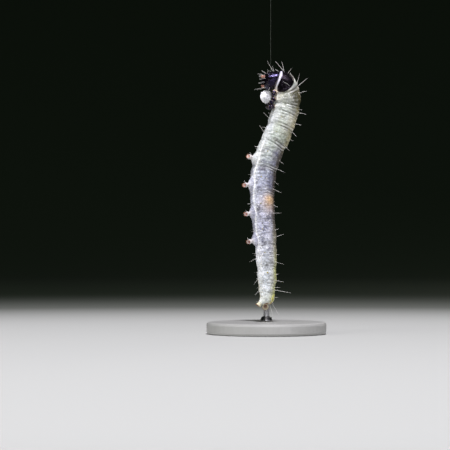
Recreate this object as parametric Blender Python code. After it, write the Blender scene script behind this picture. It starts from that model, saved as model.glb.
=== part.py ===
"""Oak leaf roller larva, life size, hanging head up by its silk and held by a plain display stand.

The belly faces -X, the back +X and the larva's left side -Y. The origin is the centre of the stand's
underside, on the surface that it rests on. The body is a row of thirteen segments strung on a bent line;
every place on it is a segment number along the line and an angle round it, 0 on the back and 180 on the
belly, so legs, prolegs and plates are all set on the same skin.
"""

import math
from bisect import bisect_right

import bmesh
import bpy
from mathutils import Matrix, Vector

MM = 0.001
GAP = 0.2 * MM

# The body line starts at the collar, where the head joins, and runs down to the tail.
COLLAR_CENTRE = Vector((1.13, 0, 25.37)) * MM
COLLAR_HEADING = 69.0
COLLAR_THICKNESS = 2.08 * MM
TAIL_THICKNESS = 1.22 * MM
# Each row is a name, the length along the middle, the bend in degrees (minus towards the belly), the
# thickness back to belly, and how far the fold behind it bows towards the head at the side, all in mm.
SEGMENTS = (
    ("T1", 1.30, -54.0, 2.36, -0.35),
    ("T2", 1.47, -24.0, 2.66, 0.0),
    ("T3", 0.94, -9.0, 2.74, 0.12),
    ("A1", 1.49, -0.9, 2.74, 0.20),
    ("A2", 1.92, -7.2, 2.70, 0.22),
    ("A3", 2.47, 14.0, 2.62, 0.22),
    ("A4", 2.69, 14.2, 2.48, 0.22),
    ("A5", 2.55, 2.1, 2.36, 0.22),
    ("A6", 2.53, 0.5, 2.24, 0.20),
    ("A7", 2.11, -3.5, 2.08, 0.18),
    ("A8", 1.74, -0.3, 1.88, 0.14),
    ("A9", 0.85, -3.0, 1.64, 0.06),
    ("A10", 1.16, 0.0, 1.42, 0.0),
)
COLLAR_BOW = -0.10 * MM
NAMES = [row[0] for row in SEGMENTS]
LENGTHS = [row[1] * MM for row in SEGMENTS]
BENDS = [row[2] for row in SEGMENTS]
THICKNESS = [row[3] * MM for row in SEGMENTS]
BOWS = [COLLAR_BOW] + [row[4] * MM for row in SEGMENTS]
WIDTH_TO_THICKNESS = 1.03

# The skin sinks in between segments, sinks less across the back of each one, and swells along the flank.
FOLD_DEPTH = 0.10 * MM
TAIL_FOLD_DEPTH = 0.03 * MM
FOLD_REACH = 0.20 * MM
ANNULET_DEPTH = 0.045 * MM
ANNULET_REACH = 0.14 * MM
ANNULET_PLACE = 0.62
FLANK_SWELL = 0.05 * MM
FLANK_ANGLE = 118
FLANK_SPREAD = 14
BODY_SIDES = 28
RINGS_PER_SEGMENT = 8

# Horny plates stand a little proud of the skin on the back of the first and the last segment.
SHIELD_RISE = 0.07 * MM
SHIELD_REACH = 134
SHIELD_ENDS = (0.10, 0.58)
SHIELD_SLANT = 0.0032
SHIELD_LAST = 0.94
TAIL_PLATE_RISE = 0.05 * MM
TAIL_PLATE_REACH = 62
TAIL_PLATE_ENDS = (12.30, 13.0)
TAIL_ROUND_FROM = 12.50
TAIL_ROUNDNESS = 2.3
TAIL_ROUND_RINGS = 6

# The body is parted in the folds, into lengths of one to three segments.
BODY_NODES = (
    ("prothorax", 0, 1),
    ("mid_and_hind_thorax", 1, 3),
    ("abdomen_segments_1_2", 3, 5),
    ("abdomen_segments_3_4", 5, 7),
    ("abdomen_segments_5_6", 7, 9),
    ("abdomen_segments_7_8", 9, 11),
    ("tail", 11, 13),
)

# The head is a round capsule bent down towards the belly, with its mouth at the far end.
HEAD_END = Vector((-0.36, 0, 25.16)) * MM
HEAD_HEADING_AT_MOUTH = 96.0
HEAD_HALF_WIDTH = 1.08 * MM
HEAD_HALF_HEIGHT = 1.00 * MM
HEAD_WIDEST = 0.35
HEAD_ROUNDNESS = 2.7
HEAD_SIDES = 32
HEAD_RINGS = 14
CROWN_FURROW = 0.07 * MM
EYE_RADIUS = 0.085 * MM
# place along the head and angle round it of the six simple eyes of one side
EYES = ((0.60, 84), (0.66, 96), (0.72, 106), (0.76, 117), (0.66, 124), (0.60, 112))

# The legs are gathered round the wad. Each has its root's place along the body, the way from the wad's
# centre to the claw as degrees above the back's side, the claw's distance out from the wad and from the
# middle, and how far the knee bulges out of the straight line: towards the head, and sideways. All mm.
LEGS = (
    ("1", 0.66, 8, 0.12, 0.30, -0.10, 0.26),
    ("2", 1.66, -82, 0.10, 0.22, -0.16, 0.34),
    ("3", 2.66, -92, 0.34, 0.30, -0.10, 0.36),
)
LEG_ROOT_ANGLE = 150
# share of the way from root to claw and the leg's radius there in mm: thick hip, shin and thin foot
LEG_PROFILE = (
    (0.0, 0.25), (0.18, 0.245), (0.34, 0.21), (0.50, 0.19), (0.66, 0.15), (0.82, 0.12), (1.0, 0.04),
)
LEG_SIDES = 10

# segment and place along it of each pair of belly prolegs, and how far they lean towards the tail
PROLEGS = (("A3", 0.76, -6), ("A4", 0.64, 9), ("A5", 0.69, 7), ("A6", 0.75, 12))
PROLEG_ANGLE = 149
PROLEG_SPLAY = 12
# height over the skin and radius, in mm, from the broad base to the rim of the foot
PROLEG_PROFILE = (
    (0.12, 0.44), (0.22, 0.31), (0.32, 0.23), (0.42, 0.21), (0.52, 0.25), (0.62, 0.26), (0.71, 0.18),
)
PROLEG_BASE = (0.66 * MM, 0.42 * MM)
PROLEG_FLARE = 0.32
FOOT_HOLLOW = 0.04 * MM
PROLEG_SIDES = 14
# the last pair is stretched out: side, place, angle round the body, lean towards the tail, splay
TAIL_PROLEGS = (("left", 12.66, 133, 70, 8), ("right", 12.82, 100, 92, 78))
TAIL_PROLEG_PROFILE = ((0.12, 0.34), (0.26, 0.31), (0.40, 0.28), (0.50, 0.27), (0.58, 0.28), (0.65, 0.20))
TAIL_PROLEG_BASE = (0.34 * MM, 0.34 * MM)
TAIL_PROLEG_FLARE = 0.52

# The wad of silk gathered between the legs is a small uneven ball, nearer the larva's left side.
WAD_CENTRE = Vector((-0.07, -0.30, 23.68)) * MM
WAD_RADII = Vector((0.50, 0.46, 0.61)) * MM
# The silk line leaves the wad's far side, passes behind the head and runs straight up. The real thread is
# about 0.01 mm thick, and is made much thicker here so that it holds as a solid. Points in mm.
LINE_RADIUS = 0.10 * MM
LINE_POINTS = (
    (-0.02, 0.38, 23.88), (0.02, 0.62, 23.86), (0.10, 0.88, 23.88), (0.22, 1.12, 23.98), (0.34, 1.31, 24.17),
    (0.42, 1.41, 24.42), (0.45, 1.43, 24.70), (0.45, 1.43, 35.60),
)
LINE_SIDES = 10

ANTENNA_ANGLE = 48
ANTENNA_PLACE = 0.88
ANTENNA_RADII = (0.16 * MM, 0.13 * MM, 0.10 * MM, 0.05 * MM)
ANTENNA_LENGTH = 0.34 * MM
ANTENNA_GAP = 0.12 * MM

BASE_RADIUS = 6.0 * MM
BASE_THICKNESS = 1.2 * MM
BASE_CHAMFER = 0.25 * MM
ROD_RADIUS = 0.30 * MM
ROD_PLACE = 10.45
ROD_STANDOFF = 1.30 * MM
ROD_ELBOW = 0.75 * MM

SKIN = ("skin", (0.78, 0.80, 0.72), 0.45, 0.0)
CUTICLE = ("black_cuticle", (0.012, 0.009, 0.014), 0.18, 0.0)
MOUTH = ("pale_cuticle", (0.42, 0.20, 0.11), 0.35, 0.0)
SILK = ("silk", (0.92, 0.92, 0.92), 0.7, 0.0)
ENAMEL = ("grey_enamel", (0.55, 0.55, 0.54), 0.45, 0.0)
STEEL = ("steel", (0.62, 0.62, 0.64), 0.3, 1.0)


def clear_scene():
    for old in list(bpy.data.objects):
        bpy.data.objects.remove(old)


def material(name, colour, roughness, metallic):
    found = bpy.data.materials.get(name)
    if found:
        return found
    made = bpy.data.materials.new(name)
    made.use_nodes = True
    shader = made.node_tree.nodes["Principled BSDF"]
    shader.inputs["Base Color"].default_value = (*colour, 1)
    shader.inputs["Roughness"].default_value = roughness
    shader.inputs["Metallic"].default_value = metallic
    return made


def add_object(name, bm, finish):
    """Makes a bmesh, with its faces turned outwards, into a named object."""
    bmesh.ops.recalc_face_normals(bm, faces=bm.faces)
    mesh = bpy.data.meshes.new(name)
    bm.to_mesh(mesh)
    bm.free()
    mesh.shade_smooth()
    mesh.set_sharp_from_angle(angle=math.radians(50))
    mesh.materials.append(material(*finish))
    made = bpy.data.objects.new(name, mesh)
    bpy.context.collection.objects.link(made)
    return made


def skin_over(rings, start, end):
    """A closed mesh through rings of equally many points, closed by a fan to a point at each end."""
    bm = bmesh.new()
    rows = [[bm.verts.new(point) for point in ring] for ring in rings]
    count = len(rows[0])
    for near, far in zip(rows, rows[1:]):
        for i in range(count):
            j = (i + 1) % count
            bm.faces.new((near[i], near[j], far[j], far[i]))
    for row, tip in ((rows[0], start), (rows[-1], end)):
        middle = bm.verts.new(tip)
        for i in range(count):
            bm.faces.new((row[i], row[(i + 1) % count], middle))
    return bm


def heading_vectors(heading):
    """The way down the body and the way to its back, for a heading in degrees from straight down."""
    turn = math.radians(heading)
    along = Vector((math.sin(turn), 0, -math.cos(turn)))
    back = Vector((math.cos(turn), 0, math.sin(turn)))
    return along, back


def travel(start, heading, bend, length, share):
    """The point and heading after a share of an arc of that length, which turns by bend degrees in all."""
    turned = math.radians(bend) * share
    chord = length * share
    if abs(turned) > 1e-6:
        chord *= math.sin(turned / 2) / (turned / 2)
    along, _ = heading_vectors(heading + math.degrees(turned) / 2)
    return start + along * chord, heading + bend * share


def segment_starts():
    """Centre and heading at the collar and at each segment's rear end."""
    places = [(COLLAR_CENTRE, COLLAR_HEADING)]
    for length, bend in zip(LENGTHS, BENDS):
        places.append(travel(*places[-1], bend, length, 1))
    return places


STARTS = segment_starts()


def station(place):
    """Centre, way down the body and way to the back at a segment number such as 5.5, the middle of A3."""
    number = min(max(int(place), 0), len(SEGMENTS) - 1)
    centre, heading = travel(*STARTS[number], BENDS[number], LENGTHS[number], place - number)
    return centre, *heading_vectors(heading)


def bump(distance, reach):
    return math.exp(-((distance / reach) ** 2))


def angle_between(first, second):
    return abs((first - second + 180) % 360 - 180)


def eased(value):
    value = min(max(value, 0), 1)
    return value * value * (3 - 2 * value)


def thickness_at(place):
    """The skin's thickness from back to belly, read smoothly between the middles of the segments."""
    places = [0, *(i + 0.5 for i in range(len(SEGMENTS))), len(SEGMENTS)]
    values = [COLLAR_THICKNESS, *THICKNESS, TAIL_THICKNESS]
    right = min(max(bisect_right(places, place), 1), len(places) - 1)
    share = (place - places[right - 1]) / (places[right] - places[right - 1])
    return values[right - 1] + (values[right] - values[right - 1]) * share


def plate_rise(place, angle, ends, reach, rise):
    """How far a plate lifts the skin: all over its own area, and nothing past its edges."""
    edge = 0.06
    inside = eased((place - ends[0]) / edge) * eased((ends[1] - place) / edge + 1)
    return rise * inside * eased((reach - angle) / 9)


def fold_depth(number):
    """The folds grow shallow over the last three segments."""
    share = eased((len(SEGMENTS) - number) / 3)
    return TAIL_FOLD_DEPTH + (FOLD_DEPTH - TAIL_FOLD_DEPTH) * share


def radius_at(place, angle):
    """Distance from the body line to the skin at that angle from the back, on either side."""
    half = thickness_at(place) / 2
    turn = math.radians(angle)
    radius = half / math.hypot(math.cos(turn), math.sin(turn) / WIDTH_TO_THICKNESS)
    nearest = round(place)
    number = min(int(place), len(SEGMENTS) - 1)
    off = abs(place - nearest) * LENGTHS[number]
    if 0 < nearest < len(SEGMENTS):
        radius -= fold_depth(nearest) * bump(off, FOLD_REACH)
    off = (place - number - ANNULET_PLACE) * LENGTHS[number]
    if number > 0:
        radius -= ANNULET_DEPTH * bump(off, ANNULET_REACH) * eased((150 - angle) / 40)
    swell = bump(angle - FLANK_ANGLE, FLANK_SPREAD) * math.sin(math.pi * (place - number)) ** 2
    radius += FLANK_SWELL * swell
    shield = (SHIELD_ENDS[0], min(SHIELD_ENDS[1] + SHIELD_SLANT * angle, SHIELD_LAST))
    radius += plate_rise(place, angle, shield, SHIELD_REACH, SHIELD_RISE)
    radius += plate_rise(place, angle, TAIL_PLATE_ENDS, TAIL_PLATE_REACH, TAIL_PLATE_RISE)
    if place > TAIL_ROUND_FROM:
        rounding = (place - TAIL_ROUND_FROM) / (len(SEGMENTS) - TAIL_ROUND_FROM)
        radius *= max(1 - rounding**TAIL_ROUNDNESS, 0.001) ** (1 / TAIL_ROUNDNESS)
    return radius


def skin_point(place, angle, lift=0.0):
    """A point on the skin, or lifted off it. A positive angle is on the larva's left, towards -Y."""
    centre, along, back = station(place)
    turn = math.radians(angle)
    outward = back * math.cos(turn) + Vector((0, -1, 0)) * math.sin(turn)
    number = min(int(place), len(SEGMENTS) - 1)
    bow = BOWS[number] + (BOWS[number + 1] - BOWS[number]) * (place - number)
    radius = radius_at(place, angle_between(angle, 0))
    return centre + outward * (radius + lift) - along * bow * math.sin(turn) ** 2


def skin_normal(place, angle):
    """The way straight out of the skin, from three nearby points."""
    step_along, step_round = 0.05, 3
    ahead = skin_point(place + step_along, angle) - skin_point(place - step_along, angle)
    across = skin_point(place, angle + step_round) - skin_point(place, angle - step_round)
    normal = ahead.cross(across).normalized()
    centre, _, _ = station(place)
    return normal if normal.dot(skin_point(place, angle) - centre) > 0 else -normal


def cut_offset(place):
    """The share of a segment that half the gap takes up beside a cut."""
    number = min(int(place), len(SEGMENTS) - 1)
    return GAP / 2 / LENGTHS[number]


def ring_places(first, last):
    """Where the rings of one length lie: evenly, and closer and closer over the round end of the tail."""
    start = first + cut_offset(first)
    end = last - cut_offset(last - 1) if last < len(SEGMENTS) else TAIL_ROUND_FROM
    count = round(RINGS_PER_SEGMENT * (end - start))
    places = [start + (end - start) * k / count for k in range(count + 1)]
    if last == len(SEGMENTS):
        turns = [math.pi / 2 * k / TAIL_ROUND_RINGS for k in range(1, TAIL_ROUND_RINGS)]
        places += [end + (last - end) * math.sin(turn) for turn in turns]
    return places


def build_body():
    """The body in lengths, each a closed skin with a face at each cut."""
    angles = [360 * i / BODY_SIDES for i in range(BODY_SIDES)]
    for name, first, last in BODY_NODES:
        rings = [[skin_point(place, angle) for angle in angles] for place in ring_places(first, last)]
        caps = [sum(ring, Vector()) / len(ring) for ring in (rings[0], rings[-1])]
        if last == len(SEGMENTS):
            caps[1] = station(last)[0]
        add_object(name, skin_over(rings, *caps), SKIN)


def head_station(share):
    """Centre, way to the mouth and way to the crown, from the collar, 0, to the mouth, 1."""
    start, along, _ = station(0)
    first = -along
    start = start + first * GAP / 2
    last, _ = heading_vectors(HEAD_HEADING_AT_MOUTH - 180)
    centre = start.lerp(HEAD_END, share)
    forward = first.lerp(last, eased(share * 1.4)).normalized()
    crown = Vector((0, 1, 0)).cross(forward).normalized()
    return centre, forward, crown if crown.z > 0 else -crown


def head_radii(share):
    """Half height and half width of the capsule there."""
    reach = share - HEAD_WIDEST
    room = (1 - HEAD_WIDEST) if reach > 0 else 2.6 * HEAD_WIDEST
    swell = (1 - min(abs(reach) / room, 0.995) ** HEAD_ROUNDNESS) ** (1 / HEAD_ROUNDNESS)
    return HEAD_HALF_HEIGHT * swell, HEAD_HALF_WIDTH * swell


def head_point(share, angle, lift=0.0):
    """A point on the capsule; 0 is the crown and 180 the throat. The crown is furrowed between two lobes."""
    centre, _, crown = head_station(share)
    turn = math.radians(angle)
    height, width = head_radii(share)
    side = Vector((0, -1, 0))
    furrow = CROWN_FURROW * bump(angle_between(angle, 0), 12) * eased((0.75 - share) / 0.4)
    offset = crown * math.cos(turn) * height + side * math.sin(turn) * width
    return centre + offset * (1 + (lift - furrow) / max(offset.length, GAP))


def ball(name, centre, radii, rings=6, sides=8):
    """A closed ball mesh, stretched along the three axes, as a piece to be joined."""
    bm = bmesh.new()
    bmesh.ops.create_uvsphere(bm, u_segments=sides, v_segments=rings, radius=1)
    bmesh.ops.transform(bm, matrix=Matrix.Translation(centre) @ Matrix.Diagonal((*radii, 1)), verts=bm.verts)
    return add_object(name, bm, CUTICLE)


def tapered(name, points, radii, sides, finish):
    """A closed tapering limb through the points, as thick as the radii say, with rings that don't twist."""
    rings = []
    across = (points[1] - points[0]).cross(Vector((0.1, 1, 0.2)))
    turns = [2 * math.pi * i / sides for i in range(sides)]
    for k, (point, radius) in enumerate(zip(points, radii)):
        before = points[max(k - 1, 0)]
        after = points[min(k + 1, len(points) - 1)]
        forward = (after - before).normalized()
        across = (across - forward * across.dot(forward)).normalized()
        over = forward.cross(across)
        rings.append([point + (across * math.cos(t) + over * math.sin(t)) * radius for t in turns])
    return add_object(name, skin_over(rings, points[0], points[-1]), finish)


def join_into(main, pieces):
    """Joins closed pieces into the main mesh by one Boolean union, and removes them."""
    group = bpy.data.collections.new(main.name + "_pieces")
    for piece in pieces:
        bpy.context.collection.objects.unlink(piece)
        group.objects.link(piece)
    union = main.modifiers.new("join", "BOOLEAN")
    union.operation = "UNION"
    union.operand_type = "COLLECTION"
    union.collection = group
    union.solver = "EXACT"
    graph = bpy.context.evaluated_depsgraph_get()
    joined = bpy.data.meshes.new_from_object(main.evaluated_get(graph))
    main.modifiers.clear()
    main.data = joined
    for piece in pieces:
        bpy.data.objects.remove(piece)
    bpy.data.collections.remove(group)


def build_head():
    """The capsule with its mouthparts and simple eyes fused on."""
    rings = []
    for k in range(HEAD_RINGS + 1):
        share = math.sin(math.pi / 2 * k / HEAD_RINGS) if k else 0
        rings.append([head_point(share, 360 * i / HEAD_SIDES) for i in range(HEAD_SIDES)])
    start, _, _ = head_station(0)
    head = add_object("head", skin_over(rings, start, head_station(1)[0]), CUTICLE)
    pieces = []
    for side in (1, -1):
        for n, (share, angle) in enumerate(EYES):
            centre = head_point(share, angle * side, -0.4 * EYE_RADIUS)
            pieces.append(ball(f"eye_{n}_{side}", centre, [EYE_RADIUS] * 3))
    pieces += mouth_pieces()
    join_into(head, pieces)


def mouth_pieces():
    """Upper lip, two jaws, two feeler-like maxillae and the spinning lobe of the lower lip."""
    mouth, forward, crown = head_station(1)
    side = Vector((0, -1, 0))

    def at(ahead, up, out):
        return mouth + (forward * ahead + crown * up + side * out) * MM

    made = [ball("upper_lip", at(-0.04, 0.30, 0), Vector((0.16, 0.34, 0.14)) * MM, 8, 12)]
    for hand in (1, -1):
        jaw = [at(-0.35, 0.05, 0.34 * hand), at(-0.02, 0.05, 0.28 * hand), at(0.12, 0.03, 0.11 * hand)]
        made.append(tapered(f"jaw_{hand}", jaw, [0.21 * MM, 0.18 * MM, 0.07 * MM], 8, CUTICLE))
        palp = [at(-0.40, -0.38, 0.24 * hand), at(-0.02, -0.34, 0.26 * hand), at(0.20, -0.31, 0.20 * hand)]
        made.append(tapered(f"maxilla_{hand}", palp, [0.18 * MM, 0.12 * MM, 0.06 * MM], 8, MOUTH))
    spinner = [at(-0.45, -0.46, 0), at(-0.05, -0.44, 0), at(0.20, -0.44, 0)]
    made.append(tapered("spinneret", spinner, [0.22 * MM, 0.15 * MM, 0.05 * MM], 8, MOUTH))
    return made


def build_antennae():
    """A short jointed feeler beside each jaw."""
    for hand, name in ((1, "antenna_left"), (-1, "antenna_right")):
        angle = ANTENNA_ANGLE * hand
        _, forward, crown = head_station(ANTENNA_PLACE)
        root = head_point(ANTENNA_PLACE, angle)
        outward = (forward * 1.0 + (root - head_station(ANTENNA_PLACE)[0]).normalized() * 0.75).normalized()
        count = len(ANTENNA_RADII)
        start = root + outward * (ANTENNA_GAP + ANTENNA_RADII[0] * 0.6)
        points = [start + outward * ANTENNA_LENGTH * k / (count - 1) for k in range(count)]
        tapered(name, points, ANTENNA_RADII, 10, MOUTH)


def build_legs():
    """Six black jointed legs, gathered round the wad of silk."""
    for number, place, way, off_wad, off_middle, up, sideways in LEGS:
        for hand, side in ((1, "left"), (-1, "right")):
            angle = LEG_ROOT_ANGLE * hand
            normal = skin_normal(place, angle)
            root = skin_point(place, angle) + normal * GAP
            turn = math.radians(way)
            claw = WAD_CENTRE + Vector((math.cos(turn), 0, math.sin(turn))) * off_wad * MM
            claw += Vector((math.cos(turn) * WAD_RADII.x, 0, math.sin(turn) * WAD_RADII.z))
            claw.y -= off_middle * hand * MM
            bulge = Vector((0, -sideways * hand, up)) * MM
            knee = root.lerp(claw, 0.5) + bulge * 2
            shares = [share for share, _ in LEG_PROFILE]
            points = [root.lerp(knee, share).lerp(knee.lerp(claw, share), share) for share in shares]
            radii = [radius * MM for _, radius in LEG_PROFILE]
            tapered(f"leg_{number}_{side}", points, radii, LEG_SIDES, CUTICLE)


def proleg(name, place, angle, lean, splay, base, profile, flare):
    """A fleshy proleg whose broad base follows the skin and flares into a round waist and foot."""
    hand = 1 if angle > 0 else -1
    _, along, back = station(place)
    splay, lean = math.radians(splay), math.radians(lean)
    upright = -back * math.cos(splay) + Vector((0, -hand, 0)) * math.sin(splay)
    outward = upright * math.cos(lean) + along * math.sin(lean)
    across = along * math.cos(lean) - upright * math.sin(lean)
    over = outward.cross(across)
    length = LENGTHS[min(int(place), len(SEGMENTS) - 1)]
    turns = [2 * math.pi * i / PROLEG_SIDES for i in range(PROLEG_SIDES)]
    around = math.degrees(base[1] / radius_at(place, abs(angle)))
    root = skin_point(place, angle, GAP)
    most = len(SEGMENTS) - 0.05
    places = [min(place + base[0] / length * math.cos(t), most) for t in turns]
    rings = [[skin_point(at, angle + around * math.sin(t), GAP) for at, t in zip(places, turns)]]
    if over.dot(rings[0][PROLEG_SIDES // 4] - root) < 0:
        over = -over
    for height, radius in profile:
        rise = outward * height * MM
        share = eased(height / flare)
        ring = [root + rise + (across * math.cos(t) + over * math.sin(t)) * radius * MM for t in turns]
        rings.append([(low + rise).lerp(point, share) for low, point in zip(rings[0], ring)])
    foot = root + outward * (profile[-1][0] * MM - FOOT_HOLLOW)
    add_object(name, skin_over(rings, root, foot), SKIN)


def build_prolegs():
    for segment, share, lean in PROLEGS:
        for hand, side in ((1, "left"), (-1, "right")):
            place = NAMES.index(segment) + share
            name = f"proleg_{segment}_{side}"
            angle = PROLEG_ANGLE * hand
            proleg(name, place, angle, lean, PROLEG_SPLAY, PROLEG_BASE, PROLEG_PROFILE, PROLEG_FLARE)
    for side, place, angle, lean, splay in TAIL_PROLEGS:
        name = f"tail_proleg_{side}"
        angle *= 1 if side == "left" else -1
        proleg(name, place, angle, lean, splay, TAIL_PROLEG_BASE, TAIL_PROLEG_PROFILE, TAIL_PROLEG_FLARE)


def build_wad():
    """The silk gathered up by the legs, a lumpy ball."""
    bm = bmesh.new()
    bmesh.ops.create_icosphere(bm, subdivisions=3, radius=1)
    for vert in bm.verts:
        way = vert.co.copy()
        lump = 0.07 * math.sin(5 * way.x + 2) * math.sin(4 * way.z + 1)
        lump += 0.05 * math.sin(7 * way.y + 3 * way.z)
        vert.co = WAD_CENTRE + Vector(a * b for a, b in zip(way, WAD_RADII)) * (1 + lump)
    add_object("silk_wad", bm, SILK)


def build_silk_line():
    points = [Vector(point) * MM for point in LINE_POINTS]
    tapered("silk_line", points, [LINE_RADIUS] * len(points), LINE_SIDES, SILK)


def build_stand():
    """A turned base and one bent rod that reaches the body's right flank from behind."""
    bm = bmesh.new()
    bmesh.ops.create_cone(
        bm, cap_ends=True, segments=64, radius1=BASE_RADIUS, radius2=BASE_RADIUS, depth=BASE_THICKNESS,
        matrix=Matrix.Translation((0, 0, BASE_THICKNESS / 2)),
    )
    base = add_object("stand_base", bm, ENAMEL)
    chamfer = base.modifiers.new("chamfer", "BEVEL")
    chamfer.width = BASE_CHAMFER
    chamfer.segments = 2
    chamfer.limit_method = "ANGLE"

    flank = skin_point(ROD_PLACE, -90)
    touch = flank + Vector((0, GAP, 0))
    upright = touch.y + ROD_STANDOFF
    points = [Vector((touch.x, upright, BASE_THICKNESS + GAP))]
    steps = 6
    for k in range(steps + 1):
        turn = math.pi / 2 * k / steps
        points.append(Vector((
            touch.x,
            upright - ROD_ELBOW * (1 - math.cos(turn)),
            touch.z - ROD_ELBOW * (1 - math.sin(turn)),
        )))
    points.append(touch)
    line = bpy.data.curves.new("stand_rod", "CURVE")
    line.dimensions = "3D"
    line.bevel_depth = ROD_RADIUS
    line.bevel_resolution = 3
    line.use_fill_caps = True
    spline = line.splines.new("POLY")
    spline.points.add(len(points) - 1)
    for target, point in zip(spline.points, points):
        target.co = (*point, 1)
    line.materials.append(material(*STEEL))
    rod = bpy.data.objects.new("stand_rod", line)
    bpy.context.collection.objects.link(rod)


def build_larva():
    clear_scene()
    build_body()
    build_head()
    build_antennae()
    build_legs()
    build_prolegs()
    build_wad()
    build_silk_line()
    build_stand()


build_larva()
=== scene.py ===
import bmesh
import bpy
import numpy as np
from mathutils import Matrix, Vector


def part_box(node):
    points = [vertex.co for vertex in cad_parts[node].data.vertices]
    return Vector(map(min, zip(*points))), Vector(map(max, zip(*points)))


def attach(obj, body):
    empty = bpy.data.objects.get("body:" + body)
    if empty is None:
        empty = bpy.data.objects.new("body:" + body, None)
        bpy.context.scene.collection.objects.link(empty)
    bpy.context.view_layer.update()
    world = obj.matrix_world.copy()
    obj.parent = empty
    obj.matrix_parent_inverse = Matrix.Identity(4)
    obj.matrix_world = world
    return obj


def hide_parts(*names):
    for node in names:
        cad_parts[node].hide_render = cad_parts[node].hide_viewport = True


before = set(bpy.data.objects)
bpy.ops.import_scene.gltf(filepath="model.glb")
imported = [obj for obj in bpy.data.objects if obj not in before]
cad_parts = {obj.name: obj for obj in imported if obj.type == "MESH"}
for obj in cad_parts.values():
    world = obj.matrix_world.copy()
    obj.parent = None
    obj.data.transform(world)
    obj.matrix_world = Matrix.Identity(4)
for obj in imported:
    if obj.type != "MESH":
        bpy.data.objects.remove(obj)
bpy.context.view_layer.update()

# The skin is one soft sac of thin cuticle over pale fat and a green-grey gut. It is made as one closed net
# of places along the body, counted in segments, and angles round it, 0 on the back and 180 on the belly.
# All sizes in this file are in millimetres, and a place such as 5.5 is the middle of the third belly segment.
MM = 0.001
COLLAR_CENTRE = (1.13, 0.0, 25.37)
COLLAR_HEADING = 69.0
# length along the middle, bend in degrees, thickness from back to belly, bow of the fold behind it
SEGMENTS = np.array([
    [1.30, -54.0, 2.36, -0.35],
    [1.47, -24.0, 2.66, 0.00],
    [0.94, -9.0, 2.74, 0.12],
    [1.49, -0.9, 2.74, 0.20],
    [1.92, -7.2, 2.70, 0.22],
    [2.47, 14.0, 2.62, 0.22],
    [2.69, 14.2, 2.48, 0.22],
    [2.55, 2.1, 2.36, 0.22],
    [2.53, 0.5, 2.24, 0.20],
    [2.11, -3.5, 2.08, 0.18],
    [1.74, -0.3, 1.88, 0.14],
    [0.85, -3.0, 1.64, 0.06],
    [1.16, 0.0, 1.42, 0.00],
])
COUNT = len(SEGMENTS)
COLLAR_THICKNESS, TAIL_THICKNESS, COLLAR_BOW = 2.08, 1.22, -0.10
WIDTH_TO_THICKNESS = 1.03
TAIL_ROUND_FROM, TAIL_ROUNDNESS, TAIL_LEAST = 12.5, 2.3, 0.0005
LEFT = np.array([0.0, -1.0, 0.0])


def xyz(x, y, z):
    return np.stack(np.broadcast_arrays(x, y, z), axis=-1)


def swung(first, second, turn):
    """The first way, swung towards the second by an angle in radians."""
    turn = np.asarray(turn)[..., None]
    return first * np.cos(turn) + second * np.sin(turn)


def side_of(angle):
    """Degrees from the middle of the back, 0 to 180, the same on both sides."""
    return np.abs((angle + 180) % 360 - 180)


def circle(count):
    """Evenly spaced angles all the way round."""
    return 2 * np.pi * np.arange(count) / count


def running(steps):
    """The way gone after each step, from 0."""
    return np.concatenate([[0], np.cumsum(steps)])


REACH = running(SEGMENTS[:, 0])


def along_segment(start, heading, length, bend, share):
    """Point and heading in degrees after a share of an arc that turns by bend degrees in all."""
    turned = np.radians(bend) * share
    chord = length * share * np.sinc(turned / 2 / np.pi)
    middle = np.radians(heading) + turned / 2
    return start + chord[..., None] * xyz(np.sin(middle), 0, -np.cos(middle)), heading + bend * share


STARTS, HEADINGS = [np.array(COLLAR_CENTRE)], [COLLAR_HEADING]
for length, bend, _, _ in SEGMENTS:
    centre, heading = along_segment(STARTS[-1], HEADINGS[-1], length, bend, np.array(1.0))
    STARTS.append(centre)
    HEADINGS.append(heading)
STARTS, HEADINGS = np.array(STARTS), np.array(HEADINGS)


def line_at(place):
    """Centre, way down the body and way to the back at each place."""
    place = np.asarray(place, float)
    number = np.clip(np.floor(place), 0, COUNT - 1).astype(int)
    length, bend = SEGMENTS[number, 0], SEGMENTS[number, 1]
    centre, heading = along_segment(STARTS[number], HEADINGS[number], length, bend, place - number)
    turn = np.radians(heading)
    return centre, xyz(np.sin(turn), 0, -np.cos(turn)), xyz(np.cos(turn), 0, np.sin(turn))


def bump(distance, reach):
    return np.exp(-((distance / reach) ** 2))


def eased(value):
    value = np.clip(value, 0, 1)
    return value * value * (3 - 2 * value)


def within(place, start, end, start_ease, end_ease):
    """1 between two places and 0 outside them, with soft ends inside."""
    return eased((place - start) / start_ease) * eased((end - place) / end_ease)


def waves(points, size, seed, count=20):
    """Smooth uneven relief about 1 high, from seeded sine waves that are about that size across."""
    rng = np.random.default_rng(seed)
    ways = rng.normal(size=(count, 3))
    ways *= 2 * np.pi / (np.linalg.norm(ways, axis=1) * size * rng.uniform(0.7, 1.5, count))[:, None]
    return np.sin(points @ ways.T + rng.uniform(0, 2 * np.pi, count)).sum(-1) * (2 / count) ** 0.5


def unrolled(place, angle):
    """Places on the skin of a straight body of even thickness, so that wrinkles don't bunch in the bends."""
    turn, radius = np.radians(angle), 1.2
    return xyz(np.interp(place, np.arange(COUNT + 1), REACH), radius * np.sin(turn), radius * np.cos(turn))


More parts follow.
